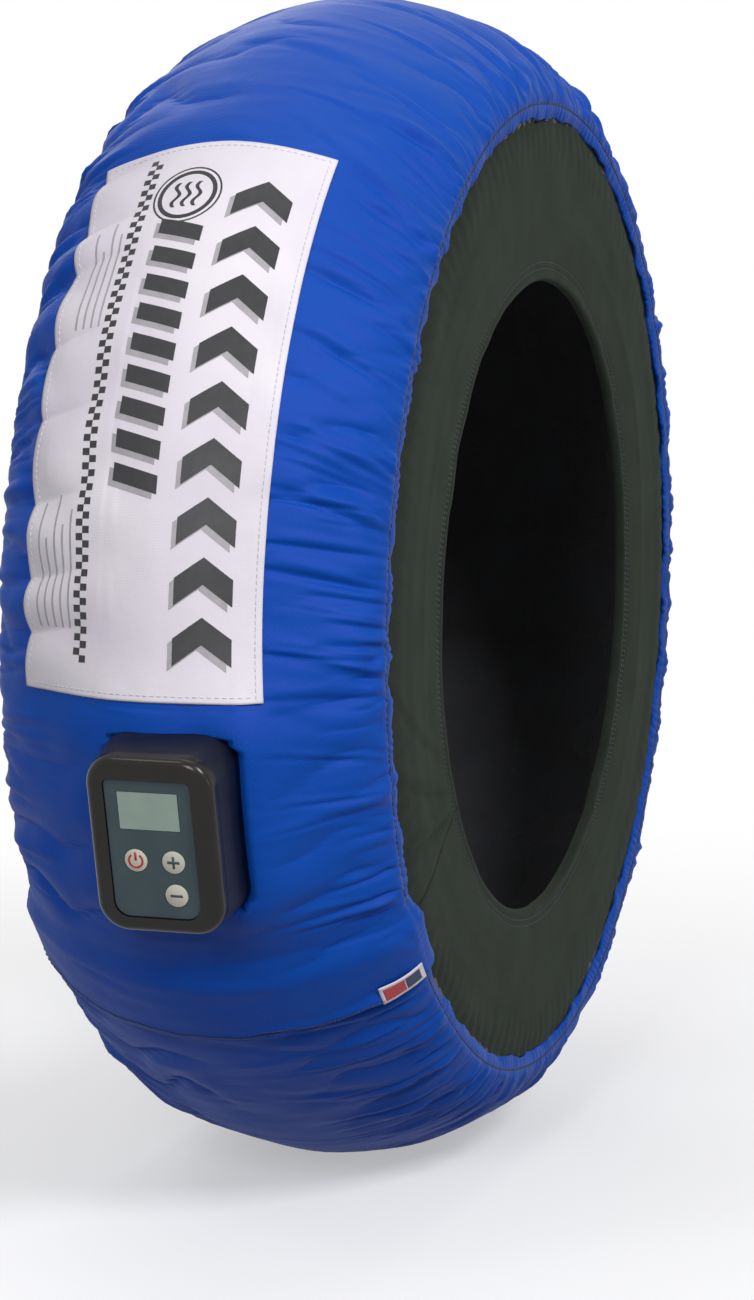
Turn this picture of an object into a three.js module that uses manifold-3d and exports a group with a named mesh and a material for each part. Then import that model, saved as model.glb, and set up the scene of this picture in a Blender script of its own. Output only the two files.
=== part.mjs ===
import * as THREE from 'three';
import { mergeVertices } from 'three/addons/utils/BufferGeometryUtils.js';
import Module from 'manifold-3d';

const wasm = await Module();
wasm.setup();

// Motorcycle tyre warmer, closed to the ring that it makes round a rear tyre.
// Millimetres and degrees. The axle lies along Y through the origin, and +Z is up.
// Angles run round the ring from the front, on the -X side, up over the top and down the back.

// Closed ring, outside of the cover
const crownRadius = 336;
const sectionCentreRadius = 262;
const sectionHalfWidth = 110.5;
const sectionFullness = 1.75;
const puffInset = 3.9;
const puffHalfWidth = sectionHalfWidth - puffInset;
const hemInset = 2.2;
const hemHalfWidth = puffHalfWidth - hemInset;
const hemDrop = 8.1;
const openingRadius = 177.7;

// The ring is least full just past the closure, and fills out again at the back
const sagDepth = 14;
const sagFrom = 24;
const sagFull = 60;
const fillFrom = 95;
const fillFull = 180;

// Cloth layers, from the outside in
const clearance = 0.3;
const coverThickness = 1.2;
const padThickness = 7;
const elementThickness = 0.8;
const matThickness = 1.2;
const linerThickness = 0.9;
const padShare = 0.87;
const matShare = 0.63;

// Closure: the tongue of the cover laps over the strip's other end
const tongueEnd = -38.65;
const paddedFrom = -32;
const endGap = 0.3;
const tapeThickness = 1.2;
const tapeHalfWidth = 60;
const tapeArc = 4.4;
const tapeMargin = 0.5;

// Gathers that the elastic pulls into both sides of the cover
const gatherPitch = 6;
const gatherHeight = 4.2;
const nearGatherReach = 0.58;
const farGatherReach = 0.76;
const reachVariation = 0.06;
const gatherEvenness = 0.7;
const ruffleHeight = 2.2;
const ruffleLag = 40;

// Arcs next to the closure over which the gathers start and end, and the tongue comes down
const gatherStart = 6;
const gatherEndFrom = 14;
const gatherEndTo = 7;
const tongueSlope = 4;

// Stretch side walls
const wallThickness = 3;
const wallLap = 7;
const wallBulge = 1.6;
const openingInset = 0.6;
const openingHalfWidth = hemHalfWidth - openingInset;
const openingFold = 8;
const foldRounding = 0.8;
const elasticThickness = 0.7;
const elasticWidth = 6;

// Heating element, laid in turns across the tread
const turnPitch = 24;
const turnShare = 0.58;
const elementHalfWidth = 2.2;

// Sewn-on patch and seam tag
const patchThickness = 0.6;
const patchFrom = -3;
const patchTo = 50.5;
const patchNear = -55;
const patchFar = 74;
const tagThickness = 0.8;
const tagArc = 2.3;
const edgeMargin = 0.2;
const tagInset = 2.6;
const tagWidth = 17;
const tagNear = tagInset - puffHalfWidth;
const tagFar = tagNear + tagWidth;

// Control unit: x to the near side, y up round the ring, z out from the crown
const unitAngle = -13.8;
const unitWidth = -10.5;
const caseHeight = 35;
const stripReach = 12;
const toolReach = 3;
const weldOverlap = 0.2;
const caseHalfWidth = 35.9;
const caseHalfLength = 49.7;
const caseDraft = 2;
const caseCorner = 16;
const caseEdge = 4.5;
const caseWall = 2.5;
const partingHeight = 26;
const floorTop = 5;
const bossRadius = 4;
const bossInset = 11.5;
const facePlate = 2.5;
const sealSize = 1.2;

// Fixings
const screwRadius = 1.5;
const screwHeadRadius = 2.8;
const screwHeadHeight = 1.6;
const plateThickness = 1.2;
const plateMargin = 2.4;

// Keypad and display
const overlayHalfWidth = 23;
const overlayHalfLength = 37.3;
const overlayCentre = [-0.95, -1.55];
const overlayTopCorner = 3;
const overlayLowerCorner = 8;
const overlayThickness = 0.5;
const overlayRecess = 1.2;
const displayHalfWidth = 16.1;
const displayHalfLength = 10.1;
const displayCentre = [-1.1, 19.2];
const displayRim = 2.2;
const displayDepth = 3.4;
const keyRadius = 6.1;
const keyProud = 0.3;
const keyTravel = 0.5;
const keyFlange = 0.9;
const keyFlangeHeight = 0.8;
const stemRadius = 1.6;
const stemSlack = 0.15;
const keySides = 20;
const powerKey = [-10.4, -8];
const plusKey = [9.8, -8];
const minusKey = [9.8, -26.3];

// Circuit board and what it carries
const boardThickness = 1.6;
const boardTop = 23.3;
const boardGap = 1.5;
const switchHalf = 3;
const switchHeight = 2.2;
const switchFloor = 0.5;
const supplySize = [24, 30, 11];
const supplyPlace = [-11, 14];
const relaySize = [15, 20, 12];
const relayPlace = [15, 12];
const terminalSize = [26, 9, 11.5];
const terminalPlace = [0, -24];

// Mains inlet in the lower wall, and the leads that pass into the strip
const inletHalfWidth = 10;
const inletHalfHeight = 6;
const inletHeight = 15;
const inletDepth = 10;
const inletFlange = 2.4;
const inletFlangeThickness = 1.5;
const inletShell = 1.5;
const pinRadius = 1.1;
const pinPitch = 5.4;
const leadRadius = 1.2;
const leadPitch = 7;
const grommetWall = 1.6;
const grommetLip = 1.5;
const probeSize = [5, 14, 2.4];
const cutoffRadius = 1.6;
const cutoffLength = 11;

// Colours read as plain values from the object
const blueNylon = { color: 0x2846aa, roughness: 0.5 };
const darkNeoprene = { color: 0x2a2e2a, roughness: 0.95 };
const liningCloth = { color: 0x17181a, roughness: 0.9 };
const paleWadding = { color: 0xcfcabd, roughness: 1 };
const tapeBlack = { color: 0x1b1b1d, roughness: 0.95 };
const whiteCloth = { color: 0xe1dae4, roughness: 0.8 };
const satinBlack = { color: 0x232321, roughness: 0.35 };
const slateFilm = { color: 0x465a64, roughness: 0.4 };
const paleKey = { color: 0xcdcdbe, roughness: 0.5 };
const displayGrey = { color: 0x8ca596, roughness: 0.2 };
const boardGreen = { color: 0x1f5a3a, roughness: 0.6 };
const brightSteel = { color: 0xb9bbbe, roughness: 0.3, metalness: 1 };
const copper = { color: 0xb87333, roughness: 0.35, metalness: 1 };
const greyRubber = { color: 0x303234, roughness: 0.8 };
const relayBlue = { color: 0x3a6a9a, roughness: 0.4 };
const terminalGreen = { color: 0x2f7f4f, roughness: 0.5 };
const wireRed = { color: 0x8f2a22, roughness: 0.6 };

// Stations round the ring and across the tread: fine for the cover, coarser for what lies inside
const fineStep = 3;
const wallStep = 9;
const layerStep = 12;
const layerShares = [0, 0.33, 0.63, padShare];
const coverShares = [...layerShares, 1];
const { degToRad, radToDeg, smoothstep, lerp } = THREE.MathUtils;
const warmer = new THREE.Group();
const paddedTo = paddedFrom + 360 - endGap;

// Depth of each layer's outer face below the cover's outer face
const padDepth = coverThickness + clearance;
const elementDepth = padDepth + padThickness + clearance;
const matDepth = elementDepth + elementThickness + clearance;
const linerDepth = matDepth + matThickness + clearance;
const tongueLift = coverThickness + 2 * tapeThickness + 3 * clearance;

// Solids and meshes
function toSolid(geometry) {
  const bare = geometry.clone();
  bare.deleteAttribute('normal');
  bare.deleteAttribute('uv');
  const merged = mergeVertices(bare);
  return new wasm.Manifold(new wasm.Mesh({
    numProp: 3,
    vertProperties: new Float32Array(merged.attributes.position.array),
    triVerts: new Uint32Array(merged.index.array),
  }));
}

function toGeometry(solid) {
  const mesh = solid.getMesh();
  const geometry = new THREE.BufferGeometry();
  geometry.setAttribute('position', new THREE.BufferAttribute(mesh.vertProperties, 3));
  geometry.setIndex(new THREE.BufferAttribute(mesh.triVerts, 1));
  return geometry;
}

function addPiece(parent, name, shape, finish) {
  const geometry = shape.isBufferGeometry ? shape : toGeometry(shape);
  geometry.computeVertexNormals();
  const mesh = new THREE.Mesh(geometry, new THREE.MeshStandardMaterial(finish));
  mesh.name = name;
  parent.add(mesh);
  return mesh;
}

// A closed body through loops of points that all have the same count
function skinLoops(loops, flatLoop) {
  const count = loops[0].length;
  const points = loops.flat();
  const positions = points.flatMap((point) => point.toArray());
  const index = [];
  for (let i = 0; i < loops.length - 1; i += 1) {
    for (let j = 0; j < count; j += 1) {
      const [a, b] = [i * count + j, i * count + (j + 1) % count];
      const [c, d] = [b + count, a + count];
      const shortest = points[a].distanceTo(points[c]) < points[b].distanceTo(points[d]);
      index.push(...(shortest ? [a, b, c, a, c, d] : [a, b, d, b, c, d]));
    }
  }
  const last = (loops.length - 1) * count;
  const clockwise = THREE.ShapeUtils.isClockWise(flatLoop);
  for (const face of THREE.ShapeUtils.triangulateShape(flatLoop, [])) {
    const [a, b, c] = clockwise ? face.toReversed() : face;
    index.push(c, b, a);
    index.push(last + a, last + b, last + c);
  }
  const geometry = new THREE.BufferGeometry();
  geometry.setAttribute('position', new THREE.Float32BufferAttribute(positions, 3));
  geometry.setIndex(signedVolume(positions, index) < 0 ? index.reverse() : index);
  return geometry;
}

function signedVolume(positions, index) {
  const corner = (i) => new THREE.Vector3().fromArray(positions, 3 * index[i]);
  let volume = 0;
  for (let i = 0; i < index.length; i += 3) {
    volume += corner(i).dot(corner(i + 1).cross(corner(i + 2)));
  }
  return volume;
}

// Shape of the ring
function sag(angle) {
  const below = THREE.MathUtils.euclideanModulo(-angle, 360);
  return sagDepth * (smoothstep(below, sagFrom, sagFull) - smoothstep(below, fillFrom, fillFull));
}

function onRing(angle, [width, radius]) {
  const share = (radius - openingRadius) / (crownRadius - openingRadius);
  const r = radius - sag(angle) * share;
  return new THREE.Vector3(-r * Math.cos(degToRad(angle)), width, r * Math.sin(degToRad(angle)));
}

function crownAt(width) {
  const across = Math.pow(Math.abs(width) / sectionHalfWidth, sectionFullness);
  return lerp(sectionCentreRadius, crownRadius, Math.pow(1 - across, 1 / sectionFullness));
}

function skinPoint(share, depth) {
  const width = share * puffHalfWidth;
  const slope = (crownAt(width + 0.05) - crownAt(width - 0.05)) / 0.1;
  const length = Math.hypot(slope, 1);
  return [width + slope * depth / length, crownAt(width) - depth / length];
}

function hemPoint(side, depth) {
  return [side * (hemHalfWidth - depth), crownAt(puffHalfWidth) - hemDrop];
}

function stationsBetween(from, to, step) {
  const inner = [];
  for (let angle = Math.ceil(from / step + 0.01) * step; angle < to - 0.01 * step; angle += step) {
    inner.push(angle);
  }
  return [from, ...inner, to];
}

function mirrored(shares) {
  const far = shares.filter((share) => share > 0);
  return [...far.toReversed().map((share) => -share), 0, ...far];
}

// A strip of cloth or padding that follows the ring; loopAt gives its section at an angle
function sweepRing(angles, loopAt) {
  const loops = angles.map((angle) => loopAt(angle).map((point) => onRing(angle, point)));
  const flat = loopAt(angles[0]).map(([width, radius]) => new THREE.Vector2(width, radius));
  return skinLoops(loops, flat);
}

function layer(angles, shares, depth, thickness, riseAt = () => 0) {
  const across = mirrored(shares);
  return sweepRing(angles, (angle) => [
    ...across.map((share) => skinPoint(share, depth - riseAt(angle, share))),
    ...across.toReversed().map((share) => skinPoint(share, depth + thickness - riseAt(angle, share))),
  ]);
}

// A point on the straight run between two stations of an inner layer
function layerPoint(share, depth) {
  const beyond = Math.max(layerShares.findIndex((station) => station >= Math.abs(share)), 1);
  const [low, high] = [layerShares[beyond - 1], layerShares[beyond]];
  const along = (Math.abs(share) - low) / (high - low);
  const [from, to] = [skinPoint(low, depth), skinPoint(high, depth)];
  return [Math.sign(share) * lerp(from[0], to[0], along), lerp(from[1], to[1], along)];
}

// Height of the gathers over the smooth cover: ridges that rise from the hem and die out inwards
function gatherAt(angle, share) {
  const ridge = 0.5 - 0.5 * Math.cos(degToRad(360 * angle / gatherPitch));
  const uneven = lerp(gatherEvenness, 1, Math.sin(angle * 1.7 + 2 * share));
  const shortest = share < 0 ? nearGatherReach : farGatherReach;
  const reach = shortest + reachVariation * (1 + Math.sin(angle * 0.9));
  const rise = smoothstep(Math.abs(share), reach, 1);
  return gatherHeight * ridge * uneven * rise * gatheredAt(angle);
}

// No gathers next to the closure, and all of them elsewhere
function gatheredAt(angle) {
  const start = smoothstep(angle, paddedFrom, paddedFrom + gatherStart);
  return start * (1 - smoothstep(angle, paddedTo - gatherEndFrom, paddedTo - gatherEndTo));
}

function ruffleAt(angle, side) {
  const wave = 0.5 - 0.5 * Math.cos(degToRad(360 * angle / gatherPitch + ruffleLag * side));
  return ruffleHeight * gatheredAt(angle) * wave;
}

function tongueAt(angle) {
  return tongueLift * (1 - smoothstep(angle, paddedFrom, paddedFrom + tongueSlope));
}

function coverLoop(angle) {
  const across = mirrored(coverShares);
  const lift = tongueAt(angle);
  const band = (depth) => across.map((share) => skinPoint(share, depth - lift - gatherAt(angle, share)));
  const farHem = ruffleAt(angle, 1) + lift / 2;
  const nearHem = ruffleAt(angle, -1) + lift / 2;
  return [
    ...band(0), hemPoint(1, -farHem), hemPoint(1, coverThickness - farHem),
    ...band(coverThickness).toReversed(), hemPoint(-1, coverThickness - nearHem), hemPoint(-1, -nearHem),
  ];
}

const wallAngles = stationsBetween(paddedFrom, paddedTo, wallStep);
const coverAngles = stationsBetween(tongueEnd, paddedTo, fineStep);
const layerAngles = stationsBetween(paddedFrom, paddedTo, layerStep);

// Control unit's own frame on the crown
const unitOut = onRing(unitAngle, [0, 1]).normalize();
const unitUp = new THREE.Vector3(Math.sin(degToRad(unitAngle)), 0, Math.cos(degToRad(unitAngle)));
const unitRight = new THREE.Vector3(0, -1, 0);
const unit = new THREE.Group();
const unitMatrix = new THREE.Matrix4().makeBasis(unitRight, unitUp, unitOut);
unitMatrix.setPosition(unitOut.x * crownRadius, unitWidth, unitOut.z * crownRadius);
unitMatrix.decompose(unit.position, unit.quaternion, unit.scale);
const unitInverse = unitMatrix.clone().invert();
warmer.add(unit);

function inUnit(geometry) {
  return geometry.clone().applyMatrix4(unitInverse);
}

function block(width, length, height, x, y, z) {
  return toSolid(new THREE.BoxGeometry(width, length, height).translate(x, y, z + height / 2));
}

function post(radius, from, to, x, y, sides = 12) {
  const rod = new THREE.CylinderGeometry(radius, radius, to - from, sides);
  return toSolid(rod.rotateX(Math.PI / 2).translate(x, y, (from + to) / 2));
}

function postAlong(radius, from, to, x, z) {
  const rod = new THREE.CylinderGeometry(radius, radius, to - from, 12);
  return toSolid(rod.translate(x, (from + to) / 2, z));
}

// A rounded rectangle at each level, joined into one body
function roundedLoft(levels) {
  const cornerSteps = 3;
  const outline = ({ halfWidth, halfLength, corner, lowerCorner = corner }) => {
    const points = [];
    for (const [sx, sy, start] of [[1, 1, 0], [-1, 1, 90], [-1, -1, 180], [1, -1, 270]]) {
      const radius = Math.max(sy > 0 ? corner : lowerCorner, 0.2);
      for (let i = 0; i <= cornerSteps; i += 1) {
        const turn = degToRad(start + 90 * i / cornerSteps);
        const x = sx * (halfWidth - radius) + radius * Math.cos(turn);
        const y = sy * (halfLength - radius) + radius * Math.sin(turn);
        points.push(new THREE.Vector2(x, y));
      }
    }
    return points;
  };
  const loops = levels.map((level) => {
    const [x, y] = level.centre ?? [0, 0];
    return outline(level).map((point) => new THREE.Vector3(point.x + x, point.y + y, level.z));
  });
  return toSolid(skinLoops(loops, outline(levels[0])));
}

function roundedBlock(halfWidth, halfLength, corner, from, to, centre) {
  return roundedLoft([from, to].map((z) => ({ halfWidth, halfLength, corner, z, centre })));
}

function overlayBlock(extra, from, to) {
  return roundedLoft([from, to].map((z) => ({
    halfWidth: overlayHalfWidth + extra,
    halfLength: overlayHalfLength + extra,
    corner: overlayTopCorner,
    lowerCorner: overlayLowerCorner,
    centre: overlayCentre,
    z,
  })));
}

function cutAll(solid, tools) {
  return tools.reduce((left, tool) => left.subtract(tool), solid);
}

function joinAll(solids) {
  return solids.reduce((left, solid) => left.add(solid));
}

// Height in the unit's frame of a layer's outer face, flat runs between its stations and all
function skinHeight([x, y], depth, shares, step) {
  const width = Math.abs(unitWidth - x);
  const across = shares.map((share) => skinPoint(share, depth));
  const beyond = Math.max(across.findIndex(([station]) => station >= width), 1);
  const [from, to] = [across[beyond - 1], across[beyond]];
  const radius = lerp(from[1], to[1], (width - from[0]) / (to[0] - from[0]));
  const turn = Math.atan2(y, radius);
  const angle = unitAngle + radToDeg(turn);
  const middle = (Math.floor(angle / step) + 0.5) * step;
  const chord = radius * Math.cos(degToRad(step / 2)) / Math.cos(degToRad(angle - middle));
  return chord * Math.cos(turn) - crownRadius;
}

// Eight points on a circle
function rimOf([x, y], radius) {
  return [0, 45, 90, 135, 180, 225, 270, 315].map(degToRad).map(
    (turn) => [x + radius * Math.cos(turn), y + radius * Math.sin(turn)]);
}

function coverHeight(x, y) {
  return skinHeight([x, y], 0, coverShares, fineStep);
}

// Height at which a screw head clears the sloping inside of the backing plate
function headTopAt(place) {
  const heights = rimOf(place, screwHeadRadius).map(
    (point) => skinHeight(point, padDepth + plateThickness, coverShares, fineStep));
  return Math.min(...heights) - clearance;
}

// Height at which a piece of a radius clears the element below it
function elementClearAt(place, radius) {
  const heights = rimOf(place, radius).map(
    (point) => skinHeight(point, elementDepth, layerShares, layerStep));
  return Math.max(...heights) + clearance;
}

// Centre of a piece that lies on the heating layer, past the lead that ends at it
function beyondLead([x, y], length) {
  return [x, y + length / 2 + leadRadius + clearance];
}

// Places that several pieces share
const corners = [[1, 1], [-1, 1], [-1, -1], [1, -1]];
const bossX = caseHalfWidth - bossInset;
const bossY = caseHalfLength - bossInset;
const bosses = corners.map(([sx, sy]) => [sx * bossX, sy * bossY]);
const overlayTop = caseHeight - overlayRecess;
const overlayBottom = overlayTop - overlayThickness;
const faceTop = overlayBottom - clearance;
const faceBottom = faceTop - facePlate;
const boardBottom = boardTop - boardThickness;
const lowest = coverHeight(caseHalfWidth, caseHalfLength) - 2;
const [terminalX, terminalY] = terminalPlace;
const leads = [-1, 0, 1].map((step) => [terminalX + step * leadPitch, terminalY]);
const [probeLeadAt, heaterLeadAt, cutoffLeadAt] = leads;
const keys = [['power_key', powerKey], ['plus_key', plusKey], ['minus_key', minusKey]];
const grommetHalfWidth = leadPitch + leadRadius + clearance + grommetWall;
const grommetHalfLength = leadRadius + clearance + grommetWall;
const grommetFoot = coverHeight(...cutoffLeadAt) - padDepth - plateThickness;
const stripLowest = lowest - stripReach;
const [, probeLength] = probeSize;
const probeCentre = beyondLead(probeLeadAt, probeLength);
const cutoffCentre = beyondLead(cutoffLeadAt, cutoffLength);
const probeFoot = elementClearAt(probeCentre, probeLength / 2);
const cutoffFoot = elementClearAt(cutoffCentre, cutoffLength / 2);
const screwTip = faceBottom;

// A stretch of the ring's skin near the unit, as a tool in the unit's frame
function skinTool(depth, thickness, step = fineStep) {
  const reach = radToDeg(caseHalfLength / openingRadius);
  const from = Math.max(Math.floor((unitAngle - reach) / step) * step, paddedFrom);
  const to = Math.ceil((unitAngle + reach) / step) * step;
  return toSolid(inUnit(layer(stationsBetween(from, to, step), layerShares, depth, thickness)));
}

function plateBlock(extra) {
  const halfWidth = caseHalfWidth - plateMargin + extra;
  const halfLength = caseHalfLength - plateMargin + extra;
  return roundedBlock(halfWidth, halfLength, caseCorner - plateMargin + extra, stripLowest, toolReach);
}

// Slot that the lead grommet passes through
function grommetSlot(from, to) {
  const halfLength = grommetHalfLength + clearance;
  return roundedBlock(grommetHalfWidth + clearance, halfLength, grommetHalfLength, from, to, heaterLeadAt);
}

function screwHoles(from, to) {
  return bosses.map(([x, y]) => post(screwRadius + clearance, from, to, x, y, 8));
}

// The blue cover, pierced for the unit's screws and leads
function outerCover() {
  const strip = toSolid(inUnit(sweepRing(coverAngles, coverLoop)));
  const holes = [...screwHoles(stripLowest, toolReach), grommetSlot(stripLowest, toolReach)];
  return toGeometry(cutAll(strip, holes)).applyMatrix4(unitMatrix);
}

// Wadding, with pockets for the backing plate, the screw heads, the leads and the probe
function insulationPad() {
  const strip = toSolid(inUnit(layer(layerAngles, layerShares, padDepth, padThickness)));
  const plateDepth = padDepth + plateThickness + clearance;
  const pocket = skinTool(0, plateDepth, layerStep).intersect(plateBlock(clearance));
  const headPockets = bosses.map((place) => post(
    screwHeadRadius + clearance, headTopAt(place) - screwHeadHeight - clearance, 0, ...place, 8));
  const leadHoleAt = (place, from) => post(leadRadius + clearance, from, toolReach, ...place, 8);
  const below = padThickness / 2;
  const [pocketWidth, pocketLength, pocketHeight] = probeSize.map((size) => size + 2 * clearance);
  const probePocket = block(
    pocketWidth, pocketLength, pocketHeight + below, ...probeCentre, probeFoot - clearance - below);
  const cutoffPocket = block(
    2 * (cutoffRadius + clearance), cutoffLength + 2 * clearance, 2 * (cutoffRadius + clearance) + below,
    ...cutoffCentre, cutoffFoot - clearance - below);
  const tools = [
    pocket, ...headPockets, probePocket, cutoffPocket, grommetSlot(grommetFoot - clearance, toolReach),
    leadHoleAt(probeLeadAt, lowest), leadHoleAt(heaterLeadAt, stripLowest), leadHoleAt(cutoffLeadAt, lowest),
  ];
  return toGeometry(cutAll(strip, tools)).applyMatrix4(unitMatrix);
}

// One flat ribbon in square turns: across the tread, along to the next turn, and back
function heaterElement() {
  const inside = mirrored(layerShares.filter((share) => share < turnShare));
  const last = paddedTo - layerStep;
  const path = [];
  let side = 1;
  for (let angle = Math.ceil(paddedFrom / layerStep) * layerStep; angle < last; angle += turnPitch) {
    const shares = [-turnShare, ...inside, turnShare];
    shares.forEach((share) => path.push({ angle, share: side * share }));
    if (angle + turnPitch < last) {
      path.push({ angle: angle + turnPitch / 2, share: side * turnShare });
    }
    side = -side;
  }
  const flat = path.map(
    ({ angle, share }) => new THREE.Vector2(degToRad(angle) * crownRadius, share * puffHalfWidth));
  const loops = flat.map((point, i) => {
    const before = flat[Math.max(i - 1, 0)];
    const after = flat[Math.min(i + 1, flat.length - 1)];
    const into = (i === 0 ? after.clone().sub(point) : point.clone().sub(before)).normalize();
    const out = (i === flat.length - 1 ? into.clone() : after.clone().sub(point)).normalize();
    const left = new THREE.Vector2(-into.y - out.y, into.x + out.x).normalize();
    const mitre = elementHalfWidth / Math.max(left.dot(new THREE.Vector2(-into.y, into.x)), 0.5);
    const corner = (reach, depth) => {
      const [x, y] = [point.x + left.x * reach, point.y + left.y * reach];
      return onRing(radToDeg(x / crownRadius), layerPoint(y / puffHalfWidth, depth));
    };
    const [top, bottom] = [elementDepth, elementDepth + elementThickness];
    return [corner(mitre, top), corner(-mitre, top), corner(-mitre, bottom), corner(mitre, bottom)];
  });
  const square = [[1, 0], [-1, 0], [-1, -1], [1, -1]].map(([x, y]) => new THREE.Vector2(x, y));
  return skinLoops(loops, square);
}

// Carrier cloth under the element
function heaterMat() {
  const across = [-matShare, ...mirrored(layerShares.filter((share) => share < matShare)), matShare];
  return sweepRing(layerAngles, () => [
    ...across.map((share) => layerPoint(share, matDepth)),
    ...across.toReversed().map((share) => layerPoint(share, matDepth + matThickness)),
  ]);
}

// The lining runs on down both flanks to the seam behind the hem
function innerLiner() {
  const across = mirrored(layerShares);
  const flank = hemPoint(1, coverThickness + elasticThickness + wallThickness + 3 * clearance);
  const band = (depth) => across.map((share) => skinPoint(share, depth));
  const edge = (side, depth) => [side * (flank[0] - depth), flank[1]];
  return sweepRing(layerAngles, () => [
    ...band(linerDepth), edge(1, 0), edge(1, linerThickness),
    ...band(linerDepth + linerThickness).toReversed(), edge(-1, linerThickness), edge(-1, 0),
  ]);
}

// A stretch wall from under the hem in to the opening, where its edge is folded double
function sideWall(side) {
  const [hemInside, hemEdge] = hemPoint(1, coverThickness + elasticThickness + 2 * clearance);
  const bulge = Math.max(hemInside, openingHalfWidth) + wallBulge;
  const middle = (hemEdge + openingRadius) / 2;
  const foldInside = openingHalfWidth - 2 * wallThickness;
  const outline = [
    [hemInside, hemEdge + wallLap / 2], [hemInside, hemEdge - wallLap / 2], [bulge, middle],
    [openingHalfWidth, openingRadius + openingFold], [openingHalfWidth - foldRounding, openingRadius],
    [foldInside, openingRadius + foldRounding], [foldInside, openingRadius + openingFold],
    [bulge - wallThickness, middle], [hemInside - wallThickness, hemEdge + wallLap / 2],
  ];
  return sweepRing(wallAngles, () => outline.map(([width, radius]) => [side * width, radius]));
}

function hemElastic(side) {
  const [inside, edge] = hemPoint(1, coverThickness + clearance);
  const outline = [
    [inside, edge], [inside, edge + elasticWidth],
    [inside - elasticThickness, edge + elasticWidth], [inside - elasticThickness, edge],
  ];
  const angles = stationsBetween(paddedFrom, paddedTo, 2 * wallStep);
  return sweepRing(angles, () => outline.map(([width, radius]) => [side * width, radius]));
}

// A prism along Y over a range of angles and widths, to trim what lies on the ring
function sector(from, to, near, far) {
  const reach = 1.5 * crownRadius;
  const outline = stationsBetween(from, to, 3 * fineStep).map(degToRad).map(
    (turn) => new THREE.Vector2(-reach * Math.cos(turn), reach * Math.sin(turn)));
  const shape = new THREE.Shape([new THREE.Vector2(0, 0), ...outline]);
  const prism = new THREE.ExtrudeGeometry(shape, { depth: far - near, bevelEnabled: false });
  return toSolid(prism.rotateX(Math.PI / 2).translate(0, far, 0));
}

// A piece that lies on the strip, gathers and all: a trimmed part of its skin
function skinPatch(from, to, near, far, depth, thickness) {
  const first = Math.max(Math.floor(from / fineStep) * fineStep, tongueEnd);
  const angles = stationsBetween(first, Math.ceil(to / fineStep) * fineStep, fineStep);
  const band = toSolid(layer(angles, coverShares, depth, thickness, gatherAt));
  return band.intersect(sector(from, to, near, far));
}

addPiece(warmer, 'outer_cover', outerCover(), blueNylon);
addPiece(warmer, 'insulation_pad', insulationPad(), paleWadding);
addPiece(warmer, 'heater_element', heaterElement(), copper);
addPiece(warmer, 'heater_mat', heaterMat(), liningCloth);
addPiece(warmer, 'inner_liner', innerLiner(), liningCloth);
addPiece(warmer, 'near_side_wall', sideWall(-1), darkNeoprene);
addPiece(warmer, 'far_side_wall', sideWall(1), darkNeoprene);
addPiece(warmer, 'near_hem_elastic', hemElastic(-1), tapeBlack);
addPiece(warmer, 'far_hem_elastic', hemElastic(1), tapeBlack);

const tapeTo = paddedTo - 360 - tapeMargin;
const tapeFrom = Math.max(tongueEnd + edgeMargin, tapeTo - tapeArc);
const tapeDepth = -clearance - tapeThickness;
const tapes = [['hook_tape', tapeDepth], ['loop_tape', tapeDepth - clearance - tapeThickness]];
for (const [name, depth] of tapes) {
  const tape = skinPatch(tapeFrom, tapeTo, -tapeHalfWidth, tapeHalfWidth, depth, tapeThickness);
  addPiece(warmer, name, tape, tapeBlack);
}

const patchDepth = -clearance - patchThickness;
const patch = skinPatch(patchFrom, patchTo, patchNear, patchFar, patchDepth, patchThickness);
addPiece(warmer, 'label_patch', patch, whiteCloth);

const tagFrom = tongueEnd + edgeMargin;
const tagDepth = -tongueLift - clearance - tagThickness;
const tag = skinPatch(tagFrom, tagFrom + tagArc, tagNear, tagFar, tagDepth, tagThickness);
addPiece(warmer, 'seam_tag', tag, whiteCloth);

// Half sizes of the drafted case at a height, drawn in by an inset
function caseLevel(z, inset = 0) {
  const draft = caseDraft * z / caseHeight;
  return {
    z,
    halfWidth: caseHalfWidth - draft - inset,
    halfLength: caseHalfLength - draft - inset,
    corner: caseCorner - inset,
  };
}

function rearCase() {
  const shell = roundedLoft([caseLevel(lowest), caseLevel(partingHeight)]);
  const chamber = roundedLoft([caseLevel(floorTop, caseWall), caseLevel(partingHeight + 1, caseWall)]);
  const underside = roundedLoft([caseLevel(lowest - 1, caseWall), caseLevel(floorTop - caseWall, caseWall)]);
  const posts = bosses.map(([x, y]) => post(bossRadius, lowest, boardBottom - clearance, x, y));
  const body = joinAll([cutAll(shell, [chamber, underside]), ...posts]);
  const slot = grommetSlot(lowest - 1, floorTop + 1);
  const inletHole = block(
    2 * (inletHalfWidth + clearance), 4 * caseWall, 2 * (inletHalfHeight + clearance),
    0, -caseHalfLength, inletHeight - inletHalfHeight - clearance);
  const crown = skinTool(-clearance, caseHeight);
  return cutAll(body, [...screwHoles(lowest - 1, partingHeight), slot, inletHole, crown]);
}

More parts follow.
